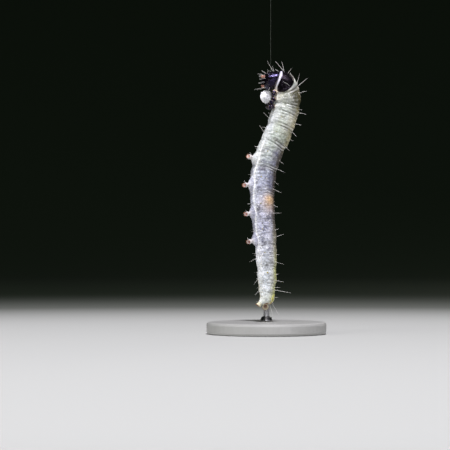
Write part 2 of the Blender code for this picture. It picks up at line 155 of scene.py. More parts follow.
# strength of each fold between segments from the collar to the tail, and of the two creases beside it
FOLD_STRENGTH = np.array([0, 0.9, 0.9, 0.8, 1.0, 1.0, 1.0, 0.6, 0.5, 0.6, 0.9, 0.7, 0.5, 0])
BESIDE_STRENGTH = np.array([0, 0.6, 0.6, 0.5, 1.0, 1.0, 1.0, 0.3, 0.2, 0.3, 0.5, 0.2, 0, 0])
FOLD_DEPTH, FOLD_REACH, VALLEY_DEPTH, VALLEY_REACH, SWELL_HEIGHT = 0.050, 0.075, 0.060, 0.36, 0.030
BESIDE, BESIDE_DEPTH, CREASE_REACH = (-0.30, 0.27), 0.030, 0.045
ANNULET_DEPTH, ANNULET_REACH, ANNULET_PLACES = 0.016, 0.12, (0.36, 0.62)
FLANK_SWELL, FLANK_ANGLE, FLANK_SPREAD = 0.05, 118, 14
# depth, angle and spread of the two furrows along each flank
FLANK_FURROWS = ((0.030, 135, 4.5), (0.018, 98, 4))
# height, stretch along and round the body, size and seed of the skin's uneven relief
RELIEF = ((0.014, 1, 1, 1.0, 3), (0.006, 1, 1, 0.35, 4), (0.007, 5, 1, 1.1, 5), (0.004, 7, 2, 1.0, 6))
WRINKLE_DEPTH, FRONT_WRINKLE_DEPTH, SOCKET_RISE, COLLAR_ROLL, COLLAR_SINK = 0.018, 0.032, 0.10, 0.05, 0.09


def folds(place, angle):
    """How far the skin sinks in, painted shade in its creases, painted highlight on the bars beside them."""
    side = side_of(angle)
    wavy = place + 0.016 * waves(unrolled(place, angle), 1.2, 1)
    nearest = np.clip(np.round(wavy), 0, COUNT).astype(int)
    length = SEGMENTS[np.clip(np.floor(wavy), 0, COUNT - 1).astype(int), 0]
    off = (wavy - nearest) * length
    patchy = np.clip(0.75 + 0.35 * waves(unrolled(place, angle), 0.9, 2), 0, 1)
    upper = eased((101 - side) / 28) * patchy
    strong, beside = FOLD_STRENGTH[nearest] * (0.35 + 0.65 * upper), BESIDE_STRENGTH[nearest] * upper
    depth = strong * FOLD_DEPTH * bump(off, FOLD_REACH)
    belly_flat = 1 - 0.75 * eased((side - 110) / 45) * within(place, 4.5, 8.5, 0.5, 0.5)
    swell = SWELL_HEIGHT * bump(off + 0.42, 0.24)
    depth += FOLD_STRENGTH[nearest] * (belly_flat * VALLEY_DEPTH * bump(off - 0.10, VALLEY_REACH) - swell)
    # painted shade along each crease
    crease = strong * bump(off, CREASE_REACH)
    # a painted highlight on the bars between the creases, as if lit from above
    bar = 0
    for away in BESIDE:
        depth = depth + beside * BESIDE_DEPTH * bump(off - away, CREASE_REACH * 1.3)
        crease = crease + 0.8 * beside * bump(off - away, CREASE_REACH)
        bar = bar + beside * bump(off - away / 2, 0.055)
    share = wavy - np.floor(wavy)
    for at in ANNULET_PLACES:
        ring = bump((share - at) * length, ANNULET_REACH) * eased((140 - side) / 40) * (wavy > 1) * patchy
        depth = depth + ANNULET_DEPTH * ring
    return depth, np.clip(crease, 0, 1), np.clip(bar, 0, 1)


def thickness_at(place):
    places = [0, *(np.arange(COUNT) + 0.5), COUNT]
    return np.interp(place, places, [COLLAR_THICKNESS, *SEGMENTS[:, 2], TAIL_THICKNESS])


def wrinkles(place, angle):
    """Fine crosswise furrows a third of a millimetre apart, 0 to 1; they leave the belly nearly smooth."""
    wander = waves(unrolled(place, angle) * (2.3, 0.7, 0.7), 1.2, 7)
    patchy = np.clip(0.55 + 0.6 * waves(unrolled(place, angle), 1.3, 8), 0, 1)
    side = side_of(angle)
    return bump(wander, 0.20) * patchy * eased((165 - side) / 50) * within(place, 0.9, 12.6, 0.3, 0.6)


LEG_ROOTS = (0.66, 1.66, 2.66)
LEG_ROOT_ANGLE, SOCKET_REACH = 150, 0.36


def socket(place, angle):
    """How near each point is to the middle of a leg's soft socket, 0 to 1."""
    near, round_off = 0, np.radians(np.abs(angle) - LEG_ROOT_ANGLE) * 1.3
    for root in LEG_ROOTS:
        off = (place - root) * SEGMENTS[int(root), 0]
        near = np.maximum(near, bump(np.hypot(off, round_off), SOCKET_REACH))
    return near


def radius_at(place, angle):
    """Distance from the body line to the skin, with its folds, flank roll, leg sockets and fine wrinkles."""
    side = side_of(angle)
    turn = np.radians(side)
    radius = thickness_at(place) / 2 / np.hypot(np.cos(turn), np.sin(turn) / WIDTH_TO_THICKNESS)
    number = np.clip(np.floor(place), 0, COUNT - 1)
    arch = np.sin(np.pi * np.clip(place - number, 0, 1))
    radius = radius - folds(place, angle)[0]
    radius += FLANK_SWELL * bump(side - FLANK_ANGLE, FLANK_SPREAD) * arch**2
    radius -= arch * sum(depth * bump(side - at, reach) for depth, at, reach in FLANK_FURROWS)
    spot, skin_only = unrolled(place, angle), within(place, 0.05, COUNT, 0.3, 0.4)
    for height, lengthways, crossways, size, seed in RELIEF:
        radius += skin_only * height * waves(spot * (lengthways, crossways, crossways), size, seed)
    front = eased((3.6 - place) / 0.6)
    radius -= (WRINKLE_DEPTH + (FRONT_WRINKLE_DEPTH - WRINKLE_DEPTH) * front) * wrinkles(place, angle)
    radius += SOCKET_RISE * socket(place, angle) + COLLAR_ROLL * bump((place - 0.01) * 1.3, 0.07)
    radius -= COLLAR_SINK * bump(place, 0.14) * eased((50 - side) / 40)
    radius *= 1 - 0.35 * eased(-place / 0.12)
    rounding = np.clip((place - TAIL_ROUND_FROM) / (COUNT - TAIL_ROUND_FROM), 0, 1)
    return radius * np.maximum(1 - rounding**TAIL_ROUNDNESS, TAIL_LEAST) ** (1 / TAIL_ROUNDNESS)


def skin_point(place, angle, lift=0.0):
    """Points on the skin, or lifted off it. A positive angle is on the larva's left, towards -Y."""
    place, angle = np.asarray(place, float), np.asarray(angle, float)
    centre, along, back = line_at(place)
    turn = np.radians(angle)
    outward = swung(back, LEFT, turn)
    bow = np.interp(place, np.arange(COUNT + 1), [COLLAR_BOW, *SEGMENTS[:, 3]]) * np.sin(turn) ** 2
    return centre + outward * (radius_at(place, angle) + lift)[..., None] - along * bow[..., None]


def unit(vectors):
    return vectors / np.linalg.norm(vectors, axis=-1, keepdims=True)


def skin_normal(place, angle):
    """The way straight out of the skin, read over a tenth of a segment."""
    ahead = skin_point(place + 0.05, angle) - skin_point(place - 0.05, angle)
    around = skin_point(place, angle + 3) - skin_point(place, angle - 3)
    return unit(np.cross(around, ahead))


def spread(count, start, end, density):
    """That many numbers from start to end, closer together where the density is higher."""
    fine = np.linspace(start, end, 6000)
    total = running((density(fine[1:]) + density(fine[:-1])) / 2)
    return np.interp(np.linspace(0, total[-1], count), total, fine)


# place, and lean towards the tail, of each pair of belly prolegs
PROLEGS = ((5.76, -6), (6.64, 9), (7.69, 7), (8.75, 12))
PROLEG_ANGLE, PROLEG_SPLAY = 149, 12
# height over the skin and radius, from the broad base over the rim of the foot to its hollow middle
PROLEG_PROFILE = (
    (0.00, 0.64), (0.05, 0.59), (0.12, 0.52), (0.20, 0.44), (0.27, 0.34), (0.33, 0.24), (0.39, 0.175),
    (0.45, 0.165), (0.51, 0.19), (0.58, 0.22), (0.67, 0.225), (0.74, 0.21), (0.78, 0.175), (0.75, 0.13),
    (0.68, 0.09), (0.66, 0.00),
)
PROLEG_BASE = (0.78, 0.46)
# side, place, angle, lean, splay and thickness of the last pair, stretched out behind, and the soles' slope
TAIL_PROLEGS = ((1, 12.70, 133, 50, 8, 0.84, (0.0, 0.0, 0.0)), (-1, 12.73, 100, 96, 78, 1.0, (0.0, 0.9, 0.0)))
TAIL_PROLEG_PROFILE = (
    (0.00, 0.38), (0.03, 0.345), (0.13, 0.305), (0.26, 0.27), (0.38, 0.255), (0.47, 0.27), (0.55, 0.31),
    (0.61, 0.325), (0.64, 0.285), (0.58, 0.20), (0.47, 0.13), (0.43, 0.00),
)
TAIL_PROLEG_BASE = (0.42, 0.38)
# the soles of the belly prolegs slope, so that they face partly out to their own side
SOLE_SLOPE, SOLE_EASE, RIM_SHARE = 0.75, 0.2, 0.84


def rounded(points, times=3):
    """A smooth line near the points, made by cutting their corners; its two ends stay."""
    points = np.array(points, float)
    for _ in range(times):
        near, far = points[:-1] * 0.75 + points[1:] * 0.25, points[:-1] * 0.25 + points[1:] * 0.75
        points = np.vstack([points[:1], np.stack([near, far], 1).reshape(-1, points.shape[1]), points[-1:]])
    return points


def limb_frame(place, angle, lean, splay, slope):
    """Root, skin normal, the limb's own outward, tailward and sideways ways, and the slope of its sole."""
    _, along, back = line_at(place)
    lean, splay = np.radians(lean), np.radians(splay)
    upright = swung(-back, LEFT * np.sign(angle), splay)
    outward, across = swung(upright, along, lean), swung(along, -upright, lean)
    over = np.cross(outward, across)
    normal = skin_normal(np.array(place), np.array(angle))
    beside = np.cross(normal, unit(along - normal * (along @ normal)))
    if over @ beside < 0:
        over = -over
    return skin_point(place, angle), normal, outward, across, over, np.array(slope)


def grow_limb(points, grown, limb, base, profile, start, flare):
    """Draws the skin in a disc round the root out into a limb, and notes how far out each point is."""
    root, normal, outward, across, over, slope = limb
    offset = points - root
    drop = offset @ normal
    flat = offset - drop[..., None] * normal
    tailward = unit(across - normal * (across @ normal)) if abs(across @ normal) < 0.95 else across
    sideways = np.cross(normal, tailward)
    sideways *= np.sign(sideways @ over)
    turn = np.arctan2(flat @ sideways / base[1], flat @ tailward / base[0])
    disc = np.hypot(flat @ sideways / base[1], flat @ tailward / base[0])
    inside = (disc < 1) & (np.abs(drop) < 0.6)
    line = rounded(profile)
    rim = np.argmax(line[:, 0])
    run = running(np.hypot(*np.diff(line, axis=0).T))
    at = (1 - np.clip(disc, 0, 1)) * run[-1]
    height, radius = np.interp(at, run, line[:, 0]), np.interp(at, run, line[:, 1])
    ratio = (radius / line[0, 1] / np.maximum(disc, 1e-4))[..., None]
    low = root + flat * ratio + normal * (drop[..., None] * ratio**2)
    round_form = root + swung(across, over, turn) * radius[..., None]
    share = eased((height - start) / flare)[..., None]
    share[at > run[rim]] = 1
    sloped = ((round_form - root) @ slope) * eased(1 + (height - line[rim, 0] * 0.8) / SOLE_EASE)
    limb_form = low * (1 - share) + round_form * share + outward * (height + sloped)[..., None]
    out = np.interp(at, (0, run[rim], run[-1]), (0, RIM_SHARE, 1))
    return np.where(inside[..., None], limb_form, points), np.where(inside, np.maximum(grown, out), grown)


def row_density(place):
    """Rows of the net lie closer at the prolegs and towards the tail."""
    number = np.clip(np.floor(place), 0, COUNT - 1).astype(int)
    extra = sum(bump((place - at) * 2.5, 0.7) for at, _ in PROLEGS) * 0.8
    extra = extra + 1.6 * bump((place - 12.75) * 1.16, 0.25) + 9 * bump(place - 13, 0.06)
    return SEGMENTS[number, 0] * (1 + extra)


SKIN_ROWS, SKIN_COLUMNS = 800, 236
rows = spread(SKIN_ROWS, -0.16, COUNT, row_density)
columns = spread(SKIN_COLUMNS + 1, -180, 180, lambda a: 1 + 0.9 * bump(np.abs(a) - PROLEG_ANGLE, 24))[:-1]
place, angle = np.meshgrid(rows, columns, indexing="ij")
points = skin_point(place, angle)
limb = np.zeros(place.shape)
belly_limbs, tail_limbs = [], []
for at, lean in PROLEGS:
    for hand in (1, -1):
        belly_limbs.append(limb_frame(at, PROLEG_ANGLE * hand, lean, PROLEG_SPLAY, (0, hand * SOLE_SLOPE, 0)))
        points, limb = grow_limb(points, limb, belly_limbs[-1], PROLEG_BASE, PROLEG_PROFILE, 0.10, 0.42)
for hand, at, round_at, lean, splay, thick, slope in TAIL_PROLEGS:
    tail_limbs.append(limb_frame(at, round_at * hand, lean, splay, slope))
    profile = [(height, radius * thick) for height, radius in TAIL_PROLEG_PROFILE]
    points, limb = grow_limb(points, limb, tail_limbs[-1], TAIL_PROLEG_BASE, profile, 0.06, 0.35)


def net_faces(rows, columns):
    """Four-sided faces over rows of points that close round, with one face over each end."""
    row, column = np.meshgrid(np.arange(rows - 1), np.arange(columns), indexing="ij")
    here, beside = row * columns + column, row * columns + (column + 1) % columns
    quads = np.stack([here, beside, beside + columns, here + columns], -1).reshape(-1, 4).tolist()
    last = (rows - 1) * columns
    return quads + [list(range(columns))[::-1], list(range(last, last + columns))]


def mesh_piece(name, points, faces, material, **attributes):
    """A smooth mesh object from points in millimetres, its faces turned outwards."""
    mesh = bpy.data.meshes.new(name)
    mesh.from_pydata((np.reshape(points, (-1, 3)) * MM).tolist(), [], faces)
    for label, values in attributes.items():
        layer = mesh.attributes.new(label, "FLOAT", "POINT")
        layer.data.foreach_set("value", np.ravel(values).astype(np.float32))
    net = bmesh.new()
    net.from_mesh(mesh)
    bmesh.ops.recalc_face_normals(net, faces=net.faces)
    net.to_mesh(mesh)
    net.free()
    mesh.shade_smooth()
    mesh.materials.append(material)
    made = bpy.data.objects.new(name, mesh)
    bpy.context.scene.collection.objects.link(made)
    return made


def linear(colour):
    """An sRGB hex colour as linear red, green, blue and alpha."""
    parts = [int(colour[i : i + 2], 16) / 255 for i in (0, 2, 4)]
    return [c / 12.92 if c <= 0.04045 else ((c + 0.055) / 1.055) ** 2.4 for c in parts] + [1.0]


def new_material(name, constants):
    """A material whose shader has the given constants on its own sockets."""
    made = bpy.data.materials.new(name)
    made.use_nodes = True
    for socket, value in constants.items():
        made.node_tree.nodes["Principled BSDF"].inputs[socket].default_value = value
    return made


def add(material, kind, links=None, values=None, stops=None, out=None, to=None, **settings):
    """Adds one node, linked to the shader's input named in to, and gives back its output socket."""
    tree = material.node_tree
    node = tree.nodes.new("ShaderNode" + kind)
    for field, value in settings.items():
        setattr(node, field, value)
    for socket, value in (values or {}).items():
        node.inputs[socket].default_value = value
    for socket, source in (links or {}).items():
        tree.links.new(source, node.inputs[socket])
    if stops:
        ramp = node.color_ramp.elements
        ramp.remove(ramp[1])
        ramp[0].position, ramp[0].color = stops[0][0], linear(stops[0][1])
        for position, colour in stops[1:]:
            ramp.new(position).color = linear(colour)
    found = node.outputs[out] if out else next(s for s in node.outputs if s.enabled)
    if to:
        tree.links.new(found, tree.nodes["Principled BSDF"].inputs[to])
    return found


def noise(material, across, where=None, **values):
    """Uneven noise with features about that many millimetres across."""
    if where is None:
        where = add(material, "TexCoord", out="Object")
    return add(material, "TexNoise", {"Vector": where}, {"Scale": 1 / (across * MM), **values})


def mapped(material, value, start=(0.0, 1.0), end=(0.0, 1.0), shape="LINEAR", to=None):
    """A value mapped so that the start range becomes the end range."""
    limits = dict(zip(("From Min", "From Max", "To Min", "To Max"), (*start, *end)))
    return add(material, "MapRange", {"Value": value}, limits, interpolation_type=shape, to=to)


def mixed(material, share, first, second, to=None):
    """The first colour where the share is 0 and the second where it is 1; the second may be a hex colour."""
    links, values = {0: share, 6: first, 7: second}, {}
    if isinstance(second, str):
        values[7] = linear(links.pop(7))
    return add(material, "Mix", links, values, data_type="RGBA", to=to)


def ramp(material, value, *stops, to=None):
    return add(material, "ValToRGB", {0: value}, stops=stops, to=to)


def bumpy(material, height, strength, depth):
    """Relief for the light only, that many millimetres deep."""
    add(material, "Bump", {"Height": height}, {"Strength": strength, "Distance": depth * MM}, to="Normal")


# Living skin: a satin, slightly wet film of cuticle with white fat and a dull gut glowing through. Its
# colour runs from white under the belly to blue-grey on the sides, with a yellowish or brownish back; back
# and shoulders are painted darker still, as painted shade on the side turned away from the left light.
skin = new_material("larval_cuticle", {
    "IOR": 1.42, "Subsurface Weight": 0.15, "Subsurface Radius": (1.0, 0.85, 0.7),
    "Subsurface Scale": 0.15 * MM, "Coat Weight": 0.25, "Coat Roughness": 0.18,
})
body_place = add(skin, "Attribute", attribute_name="along", out="Fac")
length_share = add(skin, "Math", {0: body_place}, {1: 1 / COUNT}, operation="MULTIPLY")
round_angle = add(skin, "Attribute", attribute_name="around", out="Fac")
where = add(skin, "TexCoord", out="Object")


def ramp_by_segment(*rows):
    """Colours along the body, given by place."""
    return ramp(skin, length_share, *[(place / COUNT, colour) for place, colour in rows])


def painted(colour, *marks):
    """Each mark's tint laid over the colour, by its attribute on the mesh and its strength."""
    for label, tint, strength in marks:
        amount = add(skin, "Attribute", attribute_name=label, out="Fac")
        amount = add(skin, "Math", {0: amount}, {1: strength}, operation="MULTIPLY")
        colour = mixed(skin, amount, colour, tint)
    return colour


side_colour = ramp_by_segment(
    (0.0, "eae4f4"), (0.10, "e4e0ec"), (0.16, "cccdbe"), (1.0, "a0a18d"), (2.0, "a6aba0"), (3.2, "c6ccc2"),
    (3.9, "bcc2b2"), (4.5, "b3bcad"), (5.2, "aab2a9"), (5.8, "abb2b3"), (6.4, "a7acc0"), (7.3, "babac8"),
    (8.3, "bfc0d4"), (9.3, "b0b3b9"), (10.4, "ced4d8"), (11.4, "dce2e4"), (12.6, "dadfd6"),
)
belly_colour = ramp_by_segment(
    (0.0, "ece8ea"), (1.2, "d6d4c6"), (2.5, "cccfcb"), (4.0, "d4d8d8"), (5.4, "ccd0cd"), (5.9, "cfd2cf"),
    (6.4, "dcdfe6"), (7.0, "d8dbe6"), (8.0, "c6c8d3"), (8.6, "c2c3cf"), (9.1, "eeeff4"), (9.5, "fafbff"),
    (10.0, "f0f2f4"), (12.2, "e8ece8"), (12.7, "dcdccc"),
)
# the shoulder colours hold the larva's own colours and painted shade, darker where they face away from the
# left light
shoulder_colour_and_shade = ramp_by_segment(
    (0.0, "e6e0f2"), (0.10, "e2dcec"), (0.16, "ccd2ca"), (0.80, "bfc4ba"), (1.10, "605e44"), (1.6, "5e5d42"),
    (2.2, "868870"), (3.0, "d0d0be"), (3.8, "cccbb6"), (4.6, "a0a68f"), (5.3, "88888d"), (6.4, "7b7d90"),
    (7.4, "a5a3b0"), (8.5, "b3b2be"), (9.4, "bcbcbc"), (10.4, "cccfc8"), (12.6, "d2d5b4"),
)
# the back's own yellowish or brownish colour, with painted shade on top, darkest on the middle segments
back_colour_and_shade = ramp_by_segment(
    (0.0, "e2dcf0"), (0.10, "ddd8ea"), (0.16, "ccd0c6"), (0.80, "b8bcb0"), (1.15, "5c563a"), (1.7, "5c563a"),
    (2.2, "857f58"), (3.2, "d4cdac"), (4.7, "beb893"), (5.25, "585149"), (7.0, "403839"), (8.0, "544d4b"),
    (9.2, "aaa68e"), (10.2, "b8ba80"), (12.0, "cacd8a"), (12.7, "b8b25a"),
)
edge_noise = noise(skin, 0.9, where, Detail=3.0)
edge_shift = mapped(skin, edge_noise, end=(-14.0, 14.0))
uneven_angle = add(skin, "Math", {0: round_angle, 1: edge_shift}, operation="ADD")
belly_mask = mapped(skin, uneven_angle, start=(98.0, 134.0), shape="SMOOTHSTEP")
shoulder_mask = mapped(skin, uneven_angle, start=(84.0, 56.0), shape="SMOOTHSTEP")
back_mask = mapped(skin, uneven_angle, start=(56.0, 32.0), shape="SMOOTHSTEP")
colour = mixed(skin, belly_mask, side_colour, belly_colour)
colour = mixed(skin, shoulder_mask, colour, shoulder_colour_and_shade)
# the gut and fat lobes show as soft lavender-grey clouds about half a millimetre across
clouds = noise(skin, 0.60, where, Detail=4.0, Roughness=0.6)
cloud_share = add(skin, "Attribute", attribute_name="cloudy", out="Fac")
cloud_mask = mapped(skin, clouds, start=(0.48, 0.62), shape="SMOOTHSTEP")
cloud_mask = add(skin, "Math", {0: cloud_mask, 1: cloud_share}, operation="MULTIPLY")
colour = mixed(skin, cloud_mask, colour, "75768a")
# white flecks of fat, which also serve as painted glints of the wet skin
fat_and_glint_noise = noise(skin, 0.20, where, Detail=5.0, Roughness=0.7)
fat_and_glint_mask = mapped(skin, fat_and_glint_noise, start=(0.52, 0.66), end=(0.0, 0.55))
colour = mixed(skin, fat_and_glint_mask, colour, "f4f6f8")
colour = mixed(skin, back_mask, colour, back_colour_and_shade)
# the creases and the wrinkles' furrows are darkened as painted shade, and the bars beside the creases
# lightened as painted highlight; the other marks are the skin's own colour
colour = painted(
    colour, ("patch", "ecc698", 0.80), ("strip", "86859a", 0.60), ("stain", "4f4a4c", 0.85),
    ("dot", "fafbfd", 0.75), ("cream", "efe4bc", 0.85), ("bar", "fafaf6", 0.75),
    ("wrinkle", "77745f", 0.45), ("crease", "3f3a34", 0.85),
)
# uneven thickness of the cuticle makes it lighter and darker from one tenth of a millimetre to the next
mottle = noise(skin, 0.26, where, Detail=4.0, Roughness=0.7)
shade = mapped(skin, mottle, start=(0.34, 0.64), end=(0.62, 1.10))
colour = add(skin, "Mix", {6: colour, 7: shade}, {0: 1.0}, data_type="RGBA", blend_type="MULTIPLY")
colour = painted(colour, ("line", "ffffff", 0.80), ("vent", "8a5a22", 0.90))
foot_colour = ramp_by_segment(
    (5.0, "c9a48e"), (6.2, "cf8f7a"), (7.3, "cc918a"), (8.4, "96584a"), (12.0, "6e4434"),
)
limb_share = add(skin, "Attribute", attribute_name="limb", out="Fac")
limb_mask = mapped(skin, limb_share, start=(0.36, 0.50), end=(0.0, 0.80))
limb_colour = ramp_by_segment((9.0, "c9c3c0"), (12.0, "d0caa6"))
colour = mixed(skin, limb_mask, colour, limb_colour)
foot_mask = ramp(
    skin, limb_share, (0.0, "000000"), (0.52, "000000"), (0.60, "707070"), (0.68, "202020"), (0.81, "202020"),
    (0.86, "707070"), (0.92, "f0f0f0"), (1.0, "ffffff"),
)
mixed(skin, foot_mask, colour, foot_colour, to="Base Color")
# skin granules are about 0.03 mm across in life and drawn twice as coarse, so that they show
granules = add(skin, "TexVoronoi", {"Vector": where}, {"Scale": 1 / (0.06 * MM)})
fine = noise(skin, 0.10, where, Detail=5.0)
grain = add(skin, "Math", {0: granules, 1: fine}, operation="SUBTRACT")
bumpy(skin, grain, 0.5, 0.015)
mapped(skin, fine, end=(0.28, 0.50), to="Roughness")

side = np.abs(angle)
rest_spot = unrolled(place, angle)
# The testes shine pale orange through the fifth belly segment; the air tube shows as a white side line.
patch = bump((place - 7.22) * 2.55, 0.48) * bump(side - 53, 23)
patch += 0.48 * bump((place - 7.45) * 2.55, 0.75) * bump(side - 64, 28)
line_angle = 138.0 + 2 * waves(rest_spot, 1.6, 11)
line_angle = line_angle - 10 * sum(bump((place - at) * 2.5, 0.8) for at, _ in PROLEGS)
line = bump(side - line_angle, 3.6) * within(place, 4.9, 9.6, 0.4, 0.8) * eased((0.07 - limb) / 0.05)
# below the line, and on the roots of the prolegs behind the first pair, the skin is a dull lavender
strip = eased((side - line_angle - 4) / 6) * within(place, 5.3, 9.3, 0.9, 0.6)
strip *= np.clip(0.75 + 0.35 * waves(rest_spot, 0.5, 13), 0, 1)
limb_root = within(limb, 0.03, 0.34, 0.05, 0.10) * (place < 10) * eased((place - 5.7) / 0.7)
strip = np.maximum(strip, limb_root)
vent = bump((place - 12.93) * 1.16, 0.10) * bump(np.minimum(side, 90) - 90, 40)
# place, angle, size and strength of the dull spots where gut and plates show, repeated on the right side
STAINS = (
    (4.62, 38, 0.16, 0.9), (4.78, 84, 0.26, 0.7), (5.40, 120, 0.20, 0.8), (6.08, 100, 0.28, 0.8),
    (6.60, 118, 0.18, 0.6), (7.08, 122, 0.11, 1.0), (7.03, 42, 0.11, 1.0), (7.14, 40, 0.08, 0.8),
    (7.62, 116, 0.22, 0.8), (7.90, 106, 0.16, 0.7), (8.02, 130, 0.10, 1.0), (8.06, 82, 0.13, 0.9),
    (8.18, 100, 0.12, 0.8), (8.70, 106, 0.11, 0.8), (8.97, 64, 0.20, 0.8), (9.06, 108, 0.11, 0.9),
    (8.98, 96, 0.10, 0.8), (10.02, 92, 0.30, 0.55), (3.42, 92, 0.22, 0.4), (2.10, 60, 0.22, 0.5),
    (1.36, 102, 0.16, 0.5), (1.62, 84, 0.30, 0.6), (1.50, 60, 0.30, 0.5), (1.02, 68, 0.28, 0.5),
    (2.52, 52, 0.30, 0.3), (1.04, 44, 0.30, 0.5), (0.98, 92, 0.20, 0.4),
)
# the same for the small white dots of fat
DOTS = (
    (6.80, 70, 0.08, 1), (8.47, 108, 0.07, 1), (8.78, 88, 0.07, 1), (8.78, 72, 0.07, 1), (9.18, 84, 0.14, 1),
    (7.12, 96, 0.10, 1), (10.98, 86, 0.08, 1),
)


def spots(rows):
    """Soft round marks at the given places on both sides, a little uneven in outline."""
    total, uneven = np.zeros(place.shape), 1 + 0.25 * waves(rest_spot, 0.3, 12)
    for at, round_at, size, strength in rows:
        for hand in (1, -1):
            centre = unrolled(np.array(at), np.array(round_at * hand))
            off = np.linalg.norm(rest_spot - centre, axis=-1)
            total = np.maximum(total, bump(off, size * uneven) * strength)
    return total


_, crease, bar = folds(place, angle)
cloudy = 0.25 + 0.75 * within(place, 4.7, 10.2, 0.7, 1.5)
cloudy *= eased((128 - side) / 20) * (1 - 0.6 * eased((side - 62) / 20) * eased((6.1 - place) / 0.5))
cream = socket(place, angle) * eased((place - 0.3) / 0.2) * (1 - 0.6 * eased((place - 1.1) / 0.3))
cream = np.maximum(cream, 0.7 * eased((side - 150) / 16) * eased((place - 10.4) / 0.8) * (limb < 0.02))
# the furrows of the fine wrinkles get painted shade, strongest in front
wrinkle = np.clip(wrinkles(place, angle) * (0.75 + 0.75 * eased((3.6 - place) / 0.6)), 0, 1)
larva_skin = mesh_piece(
    "larva_skin", points, net_faces(*place.shape), skin, along=place, around=side, crease=crease, bar=bar,
    wrinkle=wrinkle, cloudy=cloudy, limb=limb, patch=patch, line=line, strip=strip, stain=spots(STAINS),
    dot=spots(DOTS), vent=vent, cream=cream,
)
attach(larva_skin, "root")
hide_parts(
    "prothorax", "mid_and_hind_thorax", "abdomen_segments_1_2", "abdomen_segments_3_4",
    "abdomen_segments_5_6", "abdomen_segments_7_8", "tail", "tail_proleg_left", "tail_proleg_right",
    *(f"proleg_A{number}_{side}" for number in (3, 4, 5, 6) for side in ("left", "right")),
)

# The shield is one hard black plate over the back of the first segment, split by a thin pale line down the
# middle. It is hardened cuticle, and is made as a thin closed plate with its rim let into the skin.
SHIELD_REACH, SHIELD_RISE, SHIELD_SPLIT = 138, 0.07, 2.0
SHIELD_START, SHIELD_END, SHIELD_SLANT, SHIELD_LAST = 0.075, 0.60, 0.0032, 0.95
PLATE_ROOT = 0.05


def plate(start, end, reach, rise, columns=140, loops=48):
    """Points of a thin plate over the back, from start to end, both by angle, with rounded corners."""
    across = np.sin(np.linspace(-1, 1, columns) * np.pi / 2) * 0.998
    across, turn = np.meshgrid(across, circle(loops), indexing="ij")
    room = (1 - np.abs(across) ** 12) ** 0.5
    lengthways = np.sign(np.cos(turn)) * np.abs(np.cos(turn)) ** 0.45 * room
    height = np.sign(np.sin(turn)) * np.abs(np.sin(turn)) ** 0.55
    angle = across * reach
    first, last = start(np.abs(angle)), end(np.abs(angle))
    place = (first + last) / 2 + (last - first) / 2 * lengthways
    lift = np.where(height > 0, rise, PLATE_ROOT) * height * room
    return place, angle, lift, height


place, angle, lift, height = plate(
    lambda a: SHIELD_START * (0.2 + 0.8 * eased(a / 60)),
    lambda a: np.minimum(SHIELD_END + SHIELD_SLANT * a, SHIELD_LAST), SHIELD_REACH, SHIELD_RISE,
)
spot = unrolled(place, angle)
lift += (height > 0.3) * (0.006 * waves(spot, 0.28, 21) + 0.010 * waves(spot, 0.8, 22))
lift -= (height > 0) * 0.03 * bump(angle, SHIELD_SPLIT)

# Hardened insect cuticle: near black with a violet-brown cast, polished but finely pitted like leather.
# The light that it throws back is violet, strongest on the head and the legs, duller on the shield.


def hard_cuticle(name, gloss, tint, smooth, rough, pitted):
    """Black cuticle; gloss and tint set its mirror light, smooth and rough the ends of its roughness."""
    made = new_material(name, {"IOR": 1.60, "Specular IOR Level": gloss, "Specular Tint": linear(tint)})
    where = add(made, "TexCoord", out="Object")
    smoke = noise(made, 0.5, where, Detail=4.0)
    colour = ramp(made, smoke, (0.35, "060507"), (0.55, "090709"), (0.75, "160e13"))
    pale = add(made, "Attribute", attribute_name="pale", out="Fac")
    mixed(made, pale, colour, "d6c0a8", to="Base Color")
    # the pits are about 0.05 mm apart in life and drawn at 0.07 mm, so that they show
    pits = add(made, "TexVoronoi", {"Vector": where}, {"Scale": 1 / (0.07 * MM)}, feature="SMOOTH_F1")
    bumpy(made, pits, pitted, 0.006)
    mapped(made, smoke, end=(smooth, rough), to="Roughness")
    return made


sclerotin = hard_cuticle("black_sclerotin", 0.32, "b7a6f5", 0.09, 0.20, 0.16)
dull_sclerotin = hard_cuticle("dull_sclerotin", 0.20, "d0bcd8", 0.18, 0.32, 0.80)
shield = mesh_piece(
    "thorax_shield", skin_point(place, angle, lift), net_faces(*place.shape), dull_sclerotin,
    pale=0.6 * bump(angle, SHIELD_SPLIT),
)
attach(shield, "root")

# The plate over the tail end is thin, clear and yellowish, with a few dull flecks, and lies on the skin
# of the last segment over the vent.
ANAL_REACH, ANAL_RISE, ANAL_START, ANAL_END = 48, 0.045, 12.08, 12.97
place, angle, lift, _ = plate(
    lambda a: ANAL_START + 0.004 * a, lambda a: ANAL_END - 0.0012 * a, ANAL_REACH, ANAL_RISE,
)
horn = new_material("clear_cuticle", {
    "Roughness": 0.30, "Subsurface Weight": 0.25, "Subsurface Radius": (1.0, 0.85, 0.7),
    "Subsurface Scale": 0.3 * MM,
})
where = add(horn, "TexCoord", out="Object")
flecks = noise(horn, 0.35, where, Detail=4.0)
colour = ramp(horn, flecks, (0.30, "d3d08c"), (0.55, "c0be64"), (0.72, "94843a"))
tip = add(horn, "Attribute", attribute_name="tip", out="Fac")
mixed(horn, tip, colour, "a86a2e", to="Base Color")
bumpy(horn, flecks, 0.2, 0.02)
anal_plate = mesh_piece(
    "anal_plate", skin_point(place, angle, lift), net_faces(*place.shape), horn,
    tip=0.8 * bump(place - 12.86, 0.08) * bump(np.abs(angle) - 30, 18),
)
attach(anal_plate, "root")

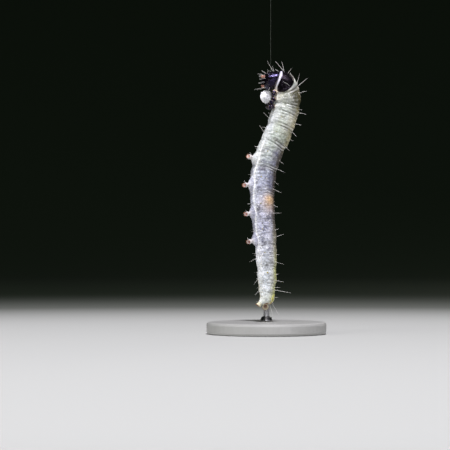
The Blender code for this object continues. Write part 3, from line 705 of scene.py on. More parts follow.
# The head is a hard round capsule of two lobes, bent down towards the belly. A furrow runs over the crown
# and forks in front into two seams round the face. It is made as rings from the neck, 0, to the mouth, 1.
HEAD_START, HEAD_END, HEAD_HEADING_AT_MOUTH = 0.1, np.array([-0.36, 0.0, 25.16]), 96.0
HEAD_HALF_WIDTH, HEAD_HALF_HEIGHT, HEAD_WIDEST, HEAD_ROUNDNESS = 1.08, 1.00, 0.35, 2.7
FACE_SEAM_ANGLE, FACE_SEAM_DEPTH, CROWN_FURROW_DEPTH, CHEEK_SWELL = 40, 0.030, 0.07, 0.05


def head_station(share):
    """Centre, way to the mouth and way to the crown."""
    share = np.asarray(share, float)[..., None]
    centre, along, _ = line_at(0.0)
    start = centre - along * HEAD_START
    turn = np.radians(HEAD_HEADING_AT_MOUTH - 180)
    last = xyz(np.sin(turn), 0, -np.cos(turn))
    bend = eased(share * 1.4)
    forward = unit(-along * (1 - bend) + last * bend)
    crown = np.cross(-LEFT, forward)
    crown = crown * np.sign(crown[..., 2:3])
    return start * (1 - share) + HEAD_END * share, forward, crown


def seam_at(share):
    """Angle of the seam round the face, which leaves the crown a third of the way to the mouth."""
    return FACE_SEAM_ANGLE * eased((share - 0.36) / 0.62)


def head_point(share, angle, lift=0.0, detail=True):
    """Points on the capsule, or lifted off it, with or without its seams, cheeks and uneven relief."""
    share, angle = np.asarray(share, float), np.asarray(angle, float)
    centre, _, crown = head_station(share)
    off = share - HEAD_WIDEST
    room = np.where(off > 0, 1 - HEAD_WIDEST, 2.6 * HEAD_WIDEST)
    swell = (1 - np.minimum(np.abs(off) / room, 0.995) ** HEAD_ROUNDNESS) ** (1 / HEAD_ROUNDNESS)
    turn = np.radians(angle)
    side = side_of(angle)
    offset = crown * (np.cos(turn) * swell * HEAD_HALF_HEIGHT)[..., None]
    offset = offset + LEFT * (np.sin(turn) * swell * HEAD_HALF_WIDTH)[..., None]
    relief = -CROWN_FURROW_DEPTH * bump(side, 12) * eased((0.75 - share) / 0.4)
    if detail:
        relief = relief - FACE_SEAM_DEPTH * bump(side - seam_at(share), 3.0) * eased((share - 0.02) / 0.1)
        relief = relief + CHEEK_SWELL * bump(side - 104, 22) * bump(share - 0.68, 0.16)
        spot = xyz(share * 1.7, np.sin(turn), np.cos(turn))
        relief = relief + 0.010 * waves(spot, 0.35, 31) + 0.004 * waves(spot, 0.13, 32)
        relief = relief - 0.03 * bump(share - 0.045, 0.02)
    length = np.maximum(np.linalg.norm(offset, axis=-1), 0.2)
    return centre + offset * (1 + (lift + relief) / length)[..., None]


share, angle = np.meshgrid(np.sin(np.linspace(0, np.pi / 2, 150)), np.arange(0, 360, 1.8), indexing="ij")
head = mesh_piece(
    "head_capsule", head_point(share, angle), net_faces(*share.shape), sclerotin,
    pale=0.10 * bump(side_of(angle) - seam_at(share), 2.2),
)
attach(head, "root")
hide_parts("head")


def head_normal(share, angle):
    """The way straight out of the capsule."""
    ahead = head_point(share + 0.03, angle, 0, False) - head_point(share - 0.03, angle, 0, False)
    around = head_point(share, angle + 4, 0, False) - head_point(share, angle - 4, 0, False)
    return unit(np.cross(ahead, around))


# Six simple eyes stand on each cheek. Each is a clear glassy dome over dark pigment, let into the capsule.
EYE_RADIUS, EYE_SUNK = 0.085, 0.35
EYES = ((0.60, 84), (0.66, 96), (0.72, 106), (0.76, 117), (0.66, 124), (0.60, 112))


def round_net(rings, sides, end=0.02):
    """Ways to the points of a globe, whose first and last rings are small."""
    down, turn = np.meshgrid(np.linspace(end, np.pi - end, rings), circle(sides), indexing="ij")
    return xyz(np.sin(down) * np.cos(turn), np.sin(down) * np.sin(turn), np.cos(down))


def ball(centre, ways, radii, rings=14, sides=20):
    """An egg-shaped net round a centre, stretched along three ways."""
    return centre + round_net(rings, sides) * radii @ np.array(ways), net_faces(rings, sides)


def together(nets):
    """Several nets of points and faces as one."""
    points, faces, start = [], [], 0
    for net_points, net_list in nets:
        points.append(np.reshape(net_points, (-1, 3)))
        faces += [[start + corner for corner in face] for face in net_list]
        start += len(points[-1])
    return np.concatenate(points), faces


cornea = new_material("eye_cornea", {
    "Roughness": 0.05, "IOR": 1.50, "Coat Weight": 0.3, "Coat Roughness": 0.02,
})
pigment = noise(cornea, 0.08)
ramp(cornea, pigment, (0.3, "080608"), (0.7, "1a1014"), to="Base Color")
domes = []
for hand in (1, -1):
    for at, round_at in EYES:
        spot = head_point(at, round_at * hand, -EYE_SUNK * EYE_RADIUS)
        domes.append(ball(spot, np.eye(3), [EYE_RADIUS] * 3))
eyes = mesh_piece("simple_eyes", *together(domes), cornea)
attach(eyes, "root")

# The mouth has a notched upper lip, two toothed jaws, a pair of jointed maxillae, and below them the lower
# lip with its spinning tube, which draws the silk. Lip and jaws are hard and dark, the rest is pale.
MOUTH, FORWARD, CROWN = (value.reshape(3) for value in head_station(1.0))


def mouth_points(hand, *places):
    """Points given by their ways ahead of the mouth, up from it and out to one side."""
    return [MOUTH + FORWARD * ahead + CROWN * up + LEFT * out * hand for ahead, up, out in places]


def tubes(lines, radii, sides=8):
    """Round tubes along many lines of equally many points, closed at both ends."""
    lines = np.asarray(lines, float)
    forward = unit(np.gradient(lines, axis=1))
    helper = np.where(np.abs(forward.mean(1)[:, None, 2:]) > 0.8, [[[1.0, 0.0, 0.0]]], [[[0.0, 0.0, 1.0]]])
    across = unit(np.cross(forward, helper))
    over = np.cross(forward, across)
    ring = swung(across[:, :, None], over[:, :, None], circle(sides))
    points = lines[:, :, None] + ring * np.broadcast_to(radii, lines.shape[:2])[:, :, None, None]
    faces = net_faces(lines.shape[1], sides)
    step = lines.shape[1] * sides
    return points, [[corner + step * n for corner in face] for n in range(len(lines)) for face in faces]


def smooth_line(points, count):
    """Evenly spaced points on a smooth line near a few hand-set ones."""
    line = rounded(points)
    run = running(np.linalg.norm(np.diff(line, axis=0), axis=1))
    return np.stack([np.interp(np.linspace(0, run[-1], count), run, line[:, k]) for k in range(3)], -1)


def jointed(points, profile, count=40, sides=16):
    """One limb along a smooth line; the profile gives shares of the way and the radius there."""
    line = smooth_line(points, count)
    shares, radii = np.array(profile).T
    return tubes([line], np.interp(np.linspace(0, 1, count), shares, radii), sides)


dark_parts, pale_parts = [], []
for hand in (1, -1):
    # each half of the lip is a lobe, so that the notch lies between them
    lobe = mouth_points(hand, (0.0, 0.30, 0.15))[0]
    dark_parts.append(ball(lobe, (FORWARD, LEFT, CROWN), (0.15, 0.20, 0.12)))
    jaw = mouth_points(hand, (-0.32, 0.08, 0.36), (-0.05, 0.08, 0.36), (0.13, 0.04, 0.12))
    dark_parts.append(jointed(jaw, ((0, 0.21), (0.45, 0.20), (0.75, 0.15), (1, 0.07))))
    for down in 0.08 * np.arange(4):
        tooth = (0.06, 0.16 - down, 0.13), (0.105, 0.155 - down, 0.08), (0.15, 0.15 - down, 0.03)
        steps = (0, 0.045), (0.6, 0.032), (1, 0.008)
        dark_parts.append(jointed(mouth_points(hand, *tooth), steps, 8, 10))
    maxilla = mouth_points(hand, (-0.38, -0.38, 0.26), (-0.05, -0.36, 0.28), (0.22, -0.30, 0.20))
    pale_parts.append(jointed(maxilla, (
        (0, 0.17), (0.30, 0.17), (0.36, 0.135), (0.55, 0.13), (0.60, 0.095), (0.78, 0.09), (0.82, 0.05),
        (0.95, 0.045), (1, 0.02),
    )))
    palp = mouth_points(hand, (-0.1, -0.48, 0.09), (0.06, -0.49, 0.10), (0.18, -0.48, 0.10))
    pale_parts.append(jointed(palp, ((0, 0.05), (0.5, 0.045), (0.6, 0.03), (1, 0.012)), 16, 12))
lower_lip = mouth_points(1, (-0.45, -0.46, 0), (-0.15, -0.46, 0), (0.02, -0.45, 0), (0.24, -0.46, 0))
pale_parts.append(jointed(lower_lip, (
    (0, 0.23), (0.45, 0.20), (0.62, 0.13), (0.70, 0.06), (0.92, 0.045), (1, 0.03),
)))
mouth_dark = mesh_piece("lip_and_jaws", *together(dark_parts), sclerotin)
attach(mouth_dark, "root")

# Soft mouthparts: pale cuticle, clear enough to look orange-brown, unevenly cream to dark brown.
amber = new_material("pale_mouth_cuticle", {
    "Roughness": 0.32, "Subsurface Weight": 0.30, "Subsurface Radius": (1.0, 0.85, 0.7),
    "Subsurface Scale": 0.2 * MM,
})
shade = noise(amber, 0.22, Detail=3.0)
ramp(amber, shade, (0.3, "cda48e"), (0.5, "98675a"), (0.7, "5c3730"), to="Base Color")
bumpy(amber, shade, 0.2, 0.01)
mouth_pale = mesh_piece("maxillae_and_spinneret", *together(pale_parts), amber)
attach(mouth_pale, "root")

# A short feeler stands in a soft ring beside each jaw: three joints, each thinner, with a long bristle.
ANTENNA_ANGLE, ANTENNA_PLACE, ANTENNA_REACH = 48, 0.88, 0.36
ANTENNA_STEPS = (
    (0, 0.18), (0.22, 0.17), (0.30, 0.12), (0.50, 0.115), (0.54, 0.095), (0.78, 0.09), (0.81, 0.05),
    (0.96, 0.045), (1, 0.02),
)
# root, way, length and thickness at the root of every bristle on the larva
bristles = []
for hand, side in ((1, "left"), (-1, "right")):
    centre, forward, _ = head_station(ANTENNA_PLACE)
    root = head_point(ANTENNA_PLACE, ANTENNA_ANGLE * hand, 0, False)
    outward = unit(forward + 0.75 * unit(root - centre)).reshape(3)
    line = [root + outward * reach for reach in (-0.10, 0.08, 0.22, ANTENNA_REACH)]
    feeler = mesh_piece(f"jointed_feeler_{side}", *jointed(line, ANTENNA_STEPS), amber)
    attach(feeler, "root")
    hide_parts(f"antenna_{side}")
    bristles.append((line[-1], outward, 0.30, 0.010))

# The six legs are hard black jointed tubes, one pair to a segment: hip, thigh, shin and foot with soft pale
# rings between them, and a hooked claw. They are gathered round the silk under the head.
WAD_CENTRE = np.array([-0.07, -0.30, 23.68])
WAD_RADII = np.array([0.50, 0.46, 0.61])
# way from the wad's middle to the claw, claw's distance out and aside, knee's bulge up and sideways
LEGS = ((8, 0.12, 0.30, -0.10, 0.26), (-82, 0.10, 0.22, -0.16, 0.34), (-92, 0.34, 0.30, -0.10, 0.36))
LEG_STEPS = (
    (0, 0.25), (0.10, 0.265), (0.22, 0.24), (0.27, 0.17), (0.31, 0.205), (0.42, 0.215), (0.50, 0.175),
    (0.54, 0.13), (0.58, 0.155), (0.70, 0.15), (0.76, 0.12), (0.79, 0.085), (0.83, 0.10), (0.93, 0.07),
    (1, 0.035),
)
SOFT_RINGS, LEG_SIDES = (0.27, 0.54, 0.79), 20
CLAW_REACH, CLAW_POINTS, CLAW_SIDES, CLAW_BEND = 0.16, 12, 10, ((0, 0), (0.6, 0), (0.8, 0.7))
for number, (root_at, (way, off_wad, off_middle, up, sideways)) in enumerate(zip(LEG_ROOTS, LEGS), 1):
    for hand, side in ((1, "left"), (-1, "right")):
        normal = skin_normal(np.array(root_at), np.array(LEG_ROOT_ANGLE * hand)).reshape(3)
        surface = skin_point(root_at, LEG_ROOT_ANGLE * hand)
        turn = np.radians(way)
        claw = WAD_CENTRE + np.array([np.cos(turn), 0, np.sin(turn)]) * (off_wad + WAD_RADII * (1, 0, 1))
        claw[1] -= off_middle * hand
        root = surface + normal * 0.1
        knee = (root + claw) / 2 + np.array([0, -sideways * hand, up]) * 2
        share = np.linspace(0, 1, 64)[:, None]
        line = root * (1 - share) ** 2 + 2 * knee * share * (1 - share) + claw * share**2
        line = np.vstack([surface - normal * 0.10, line])
        share = np.r_[0, share[:, 0]]
        radii = np.interp(share, *np.array(LEG_STEPS).T)
        end = unit(claw - line[-6])
        inward = unit(WAD_CENTRE - claw)
        hook = [claw + (end * far + inward * bent) * CLAW_REACH for far, bent in CLAW_BEND]
        hook = jointed(hook, ((0, 0.034), (0.5, 0.025), (1, 0.004)), CLAW_POINTS, CLAW_SIDES)
        soft = sum(0.30 * bump(share - ring, 0.018) for ring in SOFT_RINGS)
        # the cream ring at the hip is plainest on the first pair
        soft = soft + (0.9 if number == 1 else 0.3) * bump(share, 0.07)
        leg = mesh_piece(
            f"jointed_leg_{number}_{side}", *together([tubes([line], radii, LEG_SIDES), hook]), sclerotin,
            pale=np.r_[np.repeat(soft, LEG_SIDES), np.zeros(CLAW_POINTS * CLAW_SIDES)],
        )
        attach(leg, "root")
        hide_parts(f"leg_{number}_{side}")
        for at in (20, 34, 46, 58):
            out = unit(np.cross(line[at + 1] - line[at], [0.3, 0.2, 1.0])) * hand
            bristles.append((line[at] + out * radii[at] * 0.9, unit(out + end * 0.8), 0.16, 0.007))

# Each foot of a belly proleg carries a full ring of small brown hooks, and each tail foot an open one. They
# are hard, bent outwards and rooted in the rim of the sole.
HOOK_REACH, HOOK_RADII = 0.065, 0.008 * np.array([1.3, 1.2, 1, 0.8, 0.4])
HOOK_BEND = ((0.0, 0.0), (0.35, 0.1), (0.8, 0.35), (1.0, 0.75), (0.95, 1.15))
lines = []
for feet, height, radius, arc in (
    (belly_limbs, 0.76, 0.175, 360), (tail_limbs[:1], 0.63, 0.245, 240), (tail_limbs[1:], 0.63, 0.29, 240),
):
    for root, _, outward, across, over, slope in feet:
        for turn in np.radians(np.arange(0, arc, 12) + 60 * (arc < 360)):
            out = swung(across, over, turn)
            foot = root + outward * (height + radius * out @ slope) + out * radius
            hook = [foot + (outward * up + out * (bent - 0.3 * up)) * HOOK_REACH for up, bent in HOOK_BEND]
            lines.append(hook)
hook_horn = new_material("brown_sclerotin", {"Roughness": 0.25})
shade = noise(hook_horn, 0.2)
ramp(hook_horn, shade, (0.35, "6a3a20"), (0.65, "b0703e"), to="Base Color")
hooks = mesh_piece("proleg_hooks", *tubes(lines, HOOK_RADII, 6), hook_horn)
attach(hooks, "root")

# A breathing hole opens on each side of the first segment and of eight belly segments. Each is an oval
# brown rim of hard cuticle round a dark sunk slit.
SPIRACLE_RADIUS, SPIRACLE_STRETCH, SPIRACLE_LIP, SPIRACLE_RISE = 0.040, 1.35, 0.28, 0.008
RIM_POINTS, LIP_POINTS = 28, 8
# place, angle and size; the first and last ones are larger
SPIRACLES = [(0.86, 112, 1.45), *((3.40 + k, 99, 1.0) for k in range(7)), (10.40, 87, 1.5)]
rims, slits = [], []
for at, round_at, scale in SPIRACLES:
    for hand in (1, -1):
        normal = skin_normal(np.array(at), np.array(round_at * hand)).reshape(3)
        centre = skin_point(at, round_at * hand)
        along = unit(line_at(at)[1] - normal * (line_at(at)[1] @ normal))
        aside = np.cross(normal, along)
        size = SPIRACLE_RADIUS * scale
        ring = size * swung(along, SPIRACLE_STRETCH * aside, circle(RIM_POINTS))
        lip = SPIRACLE_LIP * size * swung(unit(ring)[:, None], normal, circle(LIP_POINTS))
        lip = lip + (ring + centre + normal * SPIRACLE_RISE)[:, None]
        here = np.arange(RIM_POINTS * LIP_POINTS).reshape(RIM_POINTS, LIP_POINTS)
        after, over = np.roll(here, -1, 0), np.roll(here, -1, 1)
        rims.append((lip, np.stack([here, over, np.roll(over, -1, 0), after], -1).reshape(-1, 4).tolist()))
        slits.append(ball(centre, (along, aside, normal), (0.60 * size, 0.95 * size, 0.012), 8, 20))
rim_tint = np.full(len(rims) * RIM_POINTS * LIP_POINTS, 0.08)
rim_piece = mesh_piece("spiracle_rims", *together(rims), horn, tip=rim_tint)
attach(rim_piece, "root")
slit_piece = mesh_piece("spiracle_slits", *together(slits), hook_horn)
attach(slit_piece, "root")

# Under the tail plate stands a comb of stiff brown prongs, which flicks the droppings away. The prongs are
# hard cuticle, let into the skin side by side and a little bowed.
COMB_PLACE, COMB_RADII = 12.93, (0.022, 0.020, 0.017, 0.013, 0.009, 0.003)
lines = []
for aside in np.linspace(-1, 1, 7):
    root = skin_point(COMB_PLACE, 0) + np.array([-0.02, aside * 0.17, -0.03])
    reach = np.array([-0.02, aside * 0.07, -0.20 + 0.03 * abs(aside)])
    share = np.linspace(0, 1, len(COMB_RADII))[:, None]
    lines.append(root + reach * share + np.array([0.02, 0, 0]) * share * (1 - share))
comb = mesh_piece("tail_comb", *tubes(lines, COMB_RADII, 8), hook_horn)
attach(comb, "root")

# Bristles grow singly from small plates in fixed rows, the same on both sides. Each is a fine clear hair of
# cuticle, about 0.02 mm thick at the root, as in life.
SETA_ROOT, SETA_TIP, SETA_POINTS = 0.009, 0.004, 9
SETA_PLATE = (0.048, 0.048, 0.028)
CAMERA_PLACE = np.array([-4.15, -225.0, 10.9])
# place, angle round the body, length, lean towards the tail
BACK_SETAE = (
    (0.11, 12, 1.15, -52), (0.16, 34, 1.21, -32), (0.30, 22, 0.58, 8), (0.50, 26, 0.34, -60),
    (0.30, 86, 0.85, 62), (0.90, 14, 1.00, -58), (0.99, 16, 1.34, -22), (1.30, 24, 0.80, 0),
    (2.30, 16, 0.30, 0), (2.62, 26, 0.85, -2), (3.46, 18, 0.58, 3), (4.00, 30, 0.85, 4),
    (4.40, 18, 0.43, 6), (4.82, 36, 0.70, 8), (5.54, 18, 0.51, 4), (5.92, 30, 0.95, -8),
    (6.46, 18, 0.42, 16), (6.79, 34, 1.00, 22), (7.44, 18, 0.34, 24), (7.76, 34, 0.85, 3),
    (8.42, 18, 0.38, -14), (8.72, 34, 0.95, -8), (9.44, 18, 0.30, 0), (9.79, 30, 0.92, 3),
    (10.46, 18, 0.25, -10), (10.80, 30, 0.86, 5), (11.38, 20, 0.55, -9), (11.66, 38, 1.60, -4),
    (12.40, 30, 0.55, -5), (12.60, 50, 0.60, 10), (12.84, 20, 1.38, 12), (12.92, 40, 1.15, 8),
)
BELLY_SETAE = (
    (3.64, 158, 0.80, -6), (4.60, 158, 0.85, -23), (5.30, 162, 0.39, 0), (7.33, 164, 0.33, 0),
    (9.58, 162, 0.68, 17), (10.70, 162, 0.61, 35), (11.70, 160, 0.61, 35), (1.30, 160, 0.40, 10),
    (2.30, 162, 0.40, 10),
)
# share of the segment, angle and length of finer bristles on all segments but the first and last
SIDE_ROWS = (
    (0.44, 78, 0.70), (0.46, 110, 0.42), (0.54, 116, 0.55), (0.60, 127, 0.50), (0.42, 142, 0.40),
    (0.30, 172, 0.25),
)
SETAE = [row + (1.0,) for row in BACK_SETAE + BELLY_SETAE]
SETAE += [(k + at, round_at, reach, 6, 0.8) for k in range(1, 12) for at, round_at, reach in SIDE_ROWS]
rng = np.random.default_rng(41)
domes = []
for at, round_at, reach, lean, stout in SETAE:
    jitter = rng.normal(size=4)
    for hand in (1, -1):
        at_here = min(at + 0.008 * jitter[0], 12.94)
        round_here = (round_at + 1.5 * jitter[1]) * hand
        normal = skin_normal(np.array(at_here), np.array(round_here)).reshape(3)
        rise = SHIELD_RISE if at < SHIELD_END else 0.0
        root = skin_point(at_here, round_here, rise)
        _, along, _ = line_at(at_here)
        along = unit(along - normal * (along @ normal))
        length = reach * (1.15 + 0.06 * jitter[3])
        tip = root + swung(normal, along, np.radians(lean + 4 * jitter[2])) * length
        if hand > 0:
            left_tip = tip
        else:
            # the far one of a pair leans a little, so that both lie in one line in the photo's view
            nearer = (left_tip[1] - CAMERA_PLACE[1]) / (tip[1] - CAMERA_PLACE[1])
            tip[[0, 2]] = (CAMERA_PLACE + (left_tip - CAMERA_PLACE) / nearer)[[0, 2]]
        bristles.append((root, unit(tip - root), length, SETA_ROOT * stout))
        if rise == 0 and at < 12.3:
            ways = (along, np.cross(normal, along), normal)
            domes.append(ball(root - normal * 0.010, ways, SETA_PLATE, 8, 16))
# share from neck to mouth, angle, length, lean towards the mouth
HEAD_SETAE = (
    (0.36, 15, 1.20, 26), (0.48, 26, 0.40, 45), (0.32, 16, 0.58, 14), (0.10, 20, 0.41, 55),
    (0.82, 34, 0.75, 25), (0.74, 20, 0.50, 15), (0.80, 132, 1.19, 48), (0.55, 58, 0.60, 10),
    (0.35, 70, 0.50, 0), (0.78, 70, 0.55, 30), (0.50, 130, 0.55, 20), (0.90, 92, 0.60, 30),
    (0.93, 60, 0.45, 20),
)
for at, round_at, reach, lean in HEAD_SETAE:
    for hand in (1, -1):
        normal = head_normal(np.array(at), np.array(float(round_at * hand))).reshape(3)
        forward = head_station(at)[1].reshape(3)
        forward = unit(forward - normal * (forward @ normal))
        way = swung(normal, forward, np.radians(lean))
        bristles.append((head_point(at, round_at * hand), way, reach, SETA_ROOT))
for feet, reach, share in ((belly_limbs, 0.36, 1.0), (tail_limbs, 0.30, 0.6)):
    for root, _, outward, across, over, _ in feet:
        for turn, height in ((2.2, 0.50), (3.4, 0.54), (4.6, 0.46)):
            out = swung(across, over, turn)
            foot = root + outward * height * share + out * 0.19
            bristles.append((foot, unit(out + outward * 0.8), reach, SETA_ROOT * 0.8))
lines, radii = [], []
share = np.linspace(-0.02, 1, SETA_POINTS)[:, None]
sag = np.array([0, 0, -0.02]) * share**2
for root, way, reach, thick in bristles:
    lines.append(root + (way * share + sag) * reach)
    radii.append(thick + (SETA_TIP / SETA_ROOT - 1) * thick * share[:, 0])

# Clear bristle cuticle: almost colourless, so that it shows pale and glassy against the dark.
bristle = new_material("clear_bristle", {"Roughness": 0.30, "IOR": 1.55})
shade = noise(bristle, 0.3)
ramp(bristle, shade, (0.3, "dcd8d0"), (0.7, "f6f4f0"), to="Base Color")
setae = mesh_piece("bristles", *tubes(lines, radii, 6), bristle)
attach(setae, "root")
plates = mesh_piece("bristle_plates", *together(domes), bristle)
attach(plates, "root")

# The wad is loose silk that the larva has hauled in: one endless fine fibre, glued white and matted into a
# ball. It is a lumpy core under 220 fibre loops, drawn 0.016 mm thick where the double thread is 0.01 mm.
silk = new_material("raw_silk", {"Roughness": 0.55, "Sheen Weight": 1.0, "Sheen Roughness": 0.4})
shade = noise(silk, 0.15, Detail=4.0)
ramp(silk, shade, (0.3, "fafbff"), (0.7, "ffffff"), to="Base Color")
bumpy(silk, shade, 0.1, 0.02)


def wad_surface(ways):
    """Points on the lumpy core, by their ways from its middle."""
    x, y, z = (ways[..., k] for k in range(3))
    lump = 0.06 * np.sin(5 * x + 2) * np.sin(4 * z + 1) + 0.05 * np.sin(7 * y + 3 * z)
    lump = lump + 0.075 * waves(ways, 0.9, 51) + 0.02 * waves(ways, 0.3, 52)
    return WAD_CENTRE + ways * WAD_RADII * (0.90 + lump)[..., None]


CORE_RINGS, CORE_SIDES = 60, 90
core = wad_surface(round_net(CORE_RINGS, CORE_SIDES, 0.01)), net_faces(CORE_RINGS, CORE_SIDES)
FIBRES, FIBRE_POINTS, FIBRE_RADIUS = 220, 26, 0.008
rng = np.random.default_rng(53)
first = unit(rng.normal(size=(FIBRES, 3)))
second = unit(np.cross(first, rng.normal(size=(FIBRES, 3))))
span = rng.uniform(0.8, 3.4, FIBRES)[:, None] * np.linspace(0, 1, FIBRE_POINTS)
ways = swung(first[:, None], second[:, None], span)
ways = unit(ways + 0.12 * np.stack([waves(ways, 0.9, seed) for seed in (54, 55, 56)], -1))
stand_off = rng.uniform(0.0, 0.05, FIBRES)[:, None] + 0.02 * np.sin(span * 3)
fibres = wad_surface(ways) + ways * np.maximum(stand_off, 0)[..., None]
wad = mesh_piece("silk_ball", *together([core, tubes(fibres, FIBRE_RADIUS, 5)]), silk)
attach(wad, "root")
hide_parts("silk_wad")

# One line of silk runs up from the wad's far side, behind the head, to where the larva hung from. It is a
# clear double thread about 0.01 mm thick, as fine as in life, and takes on the dull tone of what is behind.
STRAND_RADIUS, STRAND_TOP = 0.006, 35.6
strand_line = smooth_line((
    (-0.05, 0.0, 23.86), (0.02, 0.62, 23.86), (0.10, 0.88, 23.88), (0.22, 1.12, 23.98), (0.34, 1.31, 24.17),
    (0.42, 1.41, 24.42), (0.45, 1.43, 24.70), (0.45, 1.43, STRAND_TOP),
), 160)
thread = new_material("clear_silk_thread", {"Roughness": 0.30})
shade = noise(thread, 0.5)
ramp(thread, shade, (0.3, "5c6157"), (0.7, "777c70"), to="Base Color")
strand = mesh_piece("silk_strand", *tubes([strand_line], STRAND_RADIUS, 8), thread)
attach(strand, "root")
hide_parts("silk_line")

# The stand's base is a turned steel disc, sprayed with grey satin enamel and baked. The spray leaves a very
# fine orange peel and soft, broad reflections.
enamel = new_material("satin_enamel", {"Coat Weight": 0.2, "Coat Roughness": 0.25})
where = add(enamel, "TexCoord", out="Object")
peel = noise(enamel, 0.35, where, Detail=2.0)
tone = noise(enamel, 4, where, Detail=3.0)
ramp(enamel, tone, (0.3, "9b9b97"), (0.7, "a5a5a1"), to="Base Color")
bumpy(enamel, peel, 0.15, 0.02)
mapped(enamel, peel, end=(0.36, 0.48), to="Roughness")
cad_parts["stand_base"].material_slots[0].material = enamel

# The rod is drawn stainless steel wire, bent cold and rubbed lengthwise with fine grit. A turned collar
# holds it on the base, and a bead of clear glue holds the larva's flank on its end.
steel = new_material("brushed_steel", {"Metallic": 1.0})
where = add(steel, "TexCoord", out="Object")
# grit lines about 0.02 mm apart and some millimetres long
lengthened = add(steel, "Mapping", {"Vector": where}, {"Scale": (1, 1, 0.03)})
lines_noise = noise(steel, 0.04, lengthened, Detail=3.0)
ramp(steel, lines_noise, (0.3, "a9a9ab"), (0.7, "c6c6c8"), to="Base Color")
mapped(steel, lines_noise, end=(0.24, 0.42), to="Roughness")
bumpy(steel, lines_noise, 0.12, 0.005)
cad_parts["stand_rod"].material_slots[0].material = steel
rod_low, rod_high = (np.array(corner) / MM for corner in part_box("stand_rod"))
base_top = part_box("stand_base")[1].z / MM
ROD_RADIUS = 0.30
foot = np.array([(rod_low[0] + rod_high[0]) / 2, rod_high[1] - ROD_RADIUS, base_top])
# height and radius of the turned collar
COLLAR = ((0.0, 0.56), (0.05, 0.60), (0.10, 0.60), (0.34, 0.52), (0.40, 0.50), (0.44, 0.46), (0.46, 0.31))
COLLAR_SIDES = 40
height, radius = rounded(COLLAR, 2).T[..., None]
turn = circle(COLLAR_SIDES)
collar_points = foot + xyz(radius * np.cos(turn), radius * np.sin(turn), height)
collar = mesh_piece("rod_collar", collar_points, net_faces(len(height), COLLAR_SIDES), steel)
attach(collar, "root")
glue = new_material("clear_glue", {
    "Roughness": 0.12, "Subsurface Weight": 0.6, "Subsurface Radius": (1.0, 0.85, 0.7),
    "Subsurface Scale": 0.3 * MM,
})
haze = noise(glue, 0.2)
ramp(glue, haze, (0.3, "dedccd"), (0.7, "eeece2"), to="Base Color")
touch = np.array([foot[0], rod_low[1] - 0.05, rod_high[2] - ROD_RADIUS])
GLUE_RADII = (0.36, 0.17, 0.36)
bead = mesh_piece("glue_bead", *ball(touch, np.eye(3), GLUE_RADII, 20, 32), glue)
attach(bead, "root")

# The table is a plain paper sweep: flat under the stand, then curved up on all sides into a backdrop. Its
# colour is pale under the stand and painted darker away from it as painted shade, so that the pale larva
# and its bristles stand out.
SWEEP_FLAT, SWEEP_REACH, SWEEP_HEIGHT, SWEEP_SIDES = 235.0, 540.0, 620.0, 128
paper = new_material("matt_paper", {"Roughness": 0.85, "Specular IOR Level": 0.2})
where = add(paper, "TexCoord", out="Object")
in_front = add(paper, "VectorMath", {0: where}, {1: (0, 45 * MM, 0)}, operation="ADD")
from_stand = add(paper, "VectorMath", {0: in_front}, operation="LENGTH", out="Value")
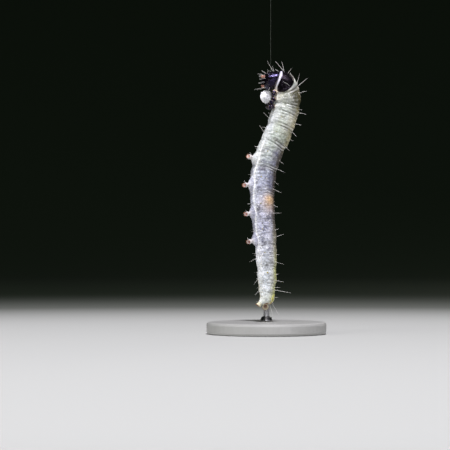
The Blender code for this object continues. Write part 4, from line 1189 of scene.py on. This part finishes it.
# painted shade: the paper darkens to a green-black with distance from the stand
painted_shade_fade = mapped(paper, from_stand, start=(0.055, 0.19), shape="SMOOTHERSTEP")
tooth = noise(paper, 1.2, where, Detail=5.0)
ramp(paper, painted_shade_fade, (0.0, "adaeaa"), (0.45, "5f625c"), (1.0, "0c1708"), to="Base Color")
bumpy(paper, tooth, 0.05, 0.05)
quarter = np.linspace(0, np.pi / 2, 60)[1:]
curved = SWEEP_FLAT + (SWEEP_REACH - SWEEP_FLAT) * np.sin(quarter)
reach = np.r_[0.5, SWEEP_FLAT * np.linspace(0.05, 1, 12), curved][:, None]
rise = np.r_[np.zeros(13), SWEEP_HEIGHT * (1 - np.cos(quarter))][:, None]
turn = circle(SWEEP_SIDES)
sweep_points = xyz(reach * np.cos(turn), reach * np.sin(turn), rise)
sweep = mesh_piece("paper_sweep", sweep_points, net_faces(len(reach), SWEEP_SIDES)[:-1], paper)
for polygon in sweep.data.polygons:
    if polygon.normal.z < 0:
        polygon.flip()


def soft_light(name, place, size, watts, colour, mirrored=True):
    """A square soft light, aimed at the larva; one that isn't mirrored is kept out of reflections."""
    lamp = bpy.data.lights.new(name, "AREA")
    lamp.shape, lamp.size, lamp.energy = "SQUARE", size * MM, watts
    lamp.color = linear(colour)[:3]
    made = bpy.data.objects.new(name, lamp)
    made.location = np.array(place) * MM
    made.visible_glossy = mirrored
    made.rotation_mode = "QUATERNION"
    made.rotation_quaternion = Vector(np.array(place) - AIM).to_track_quat("Z", "Y")
    bpy.context.scene.collection.objects.link(made)


# Plain soft studio light: a top light that draws out the folds, a soft panel just over the camera, one from
# the left that is kept out of reflections, as if behind a polarising sheet, and weak ones from the right and
# from behind.
AIM = np.array([0.0, 0.0, 14.0])
soft_light("top_light", (10, -90, 250), 42, 1.00, "f8f6ff")
soft_light("front_light", (-20, -222, 62), 50, 0.08, "fbfaff")
soft_light("left_light", (-235, -130, 110), 150, 0.38, "ffffff", mirrored=False)
soft_light("right_light", (150, -200, 30), 60, 0.10, "f8f6ff")
soft_light("back_light", (120, 210, 120), 100, 0.08, "fbf6ee")
world = bpy.data.worlds.new("studio_room")
world.use_nodes = True
glow = world.node_tree.nodes["Background"].inputs
glow["Color"].default_value, glow["Strength"].default_value = linear("9a9ca0"), 0.14
bpy.context.scene.world = world
bpy.context.scene.view_settings.view_transform = "Standard"

# The camera looks level at the larva's left side from 225 mm away. Its field there is 45 mm high and wide,
# which is the photo's frame at 0.1 mm a pixel.
camera_data = bpy.data.cameras.new("camera")
camera_data.lens = 180
camera_data.sensor_width = 36
camera_data.clip_start = 0.01
camera = bpy.data.objects.new("camera", camera_data)
camera.location = CAMERA_PLACE * MM
camera.rotation_euler = (np.pi / 2, 0, 0)
bpy.context.scene.collection.objects.link(camera)
bpy.context.scene.camera = camera
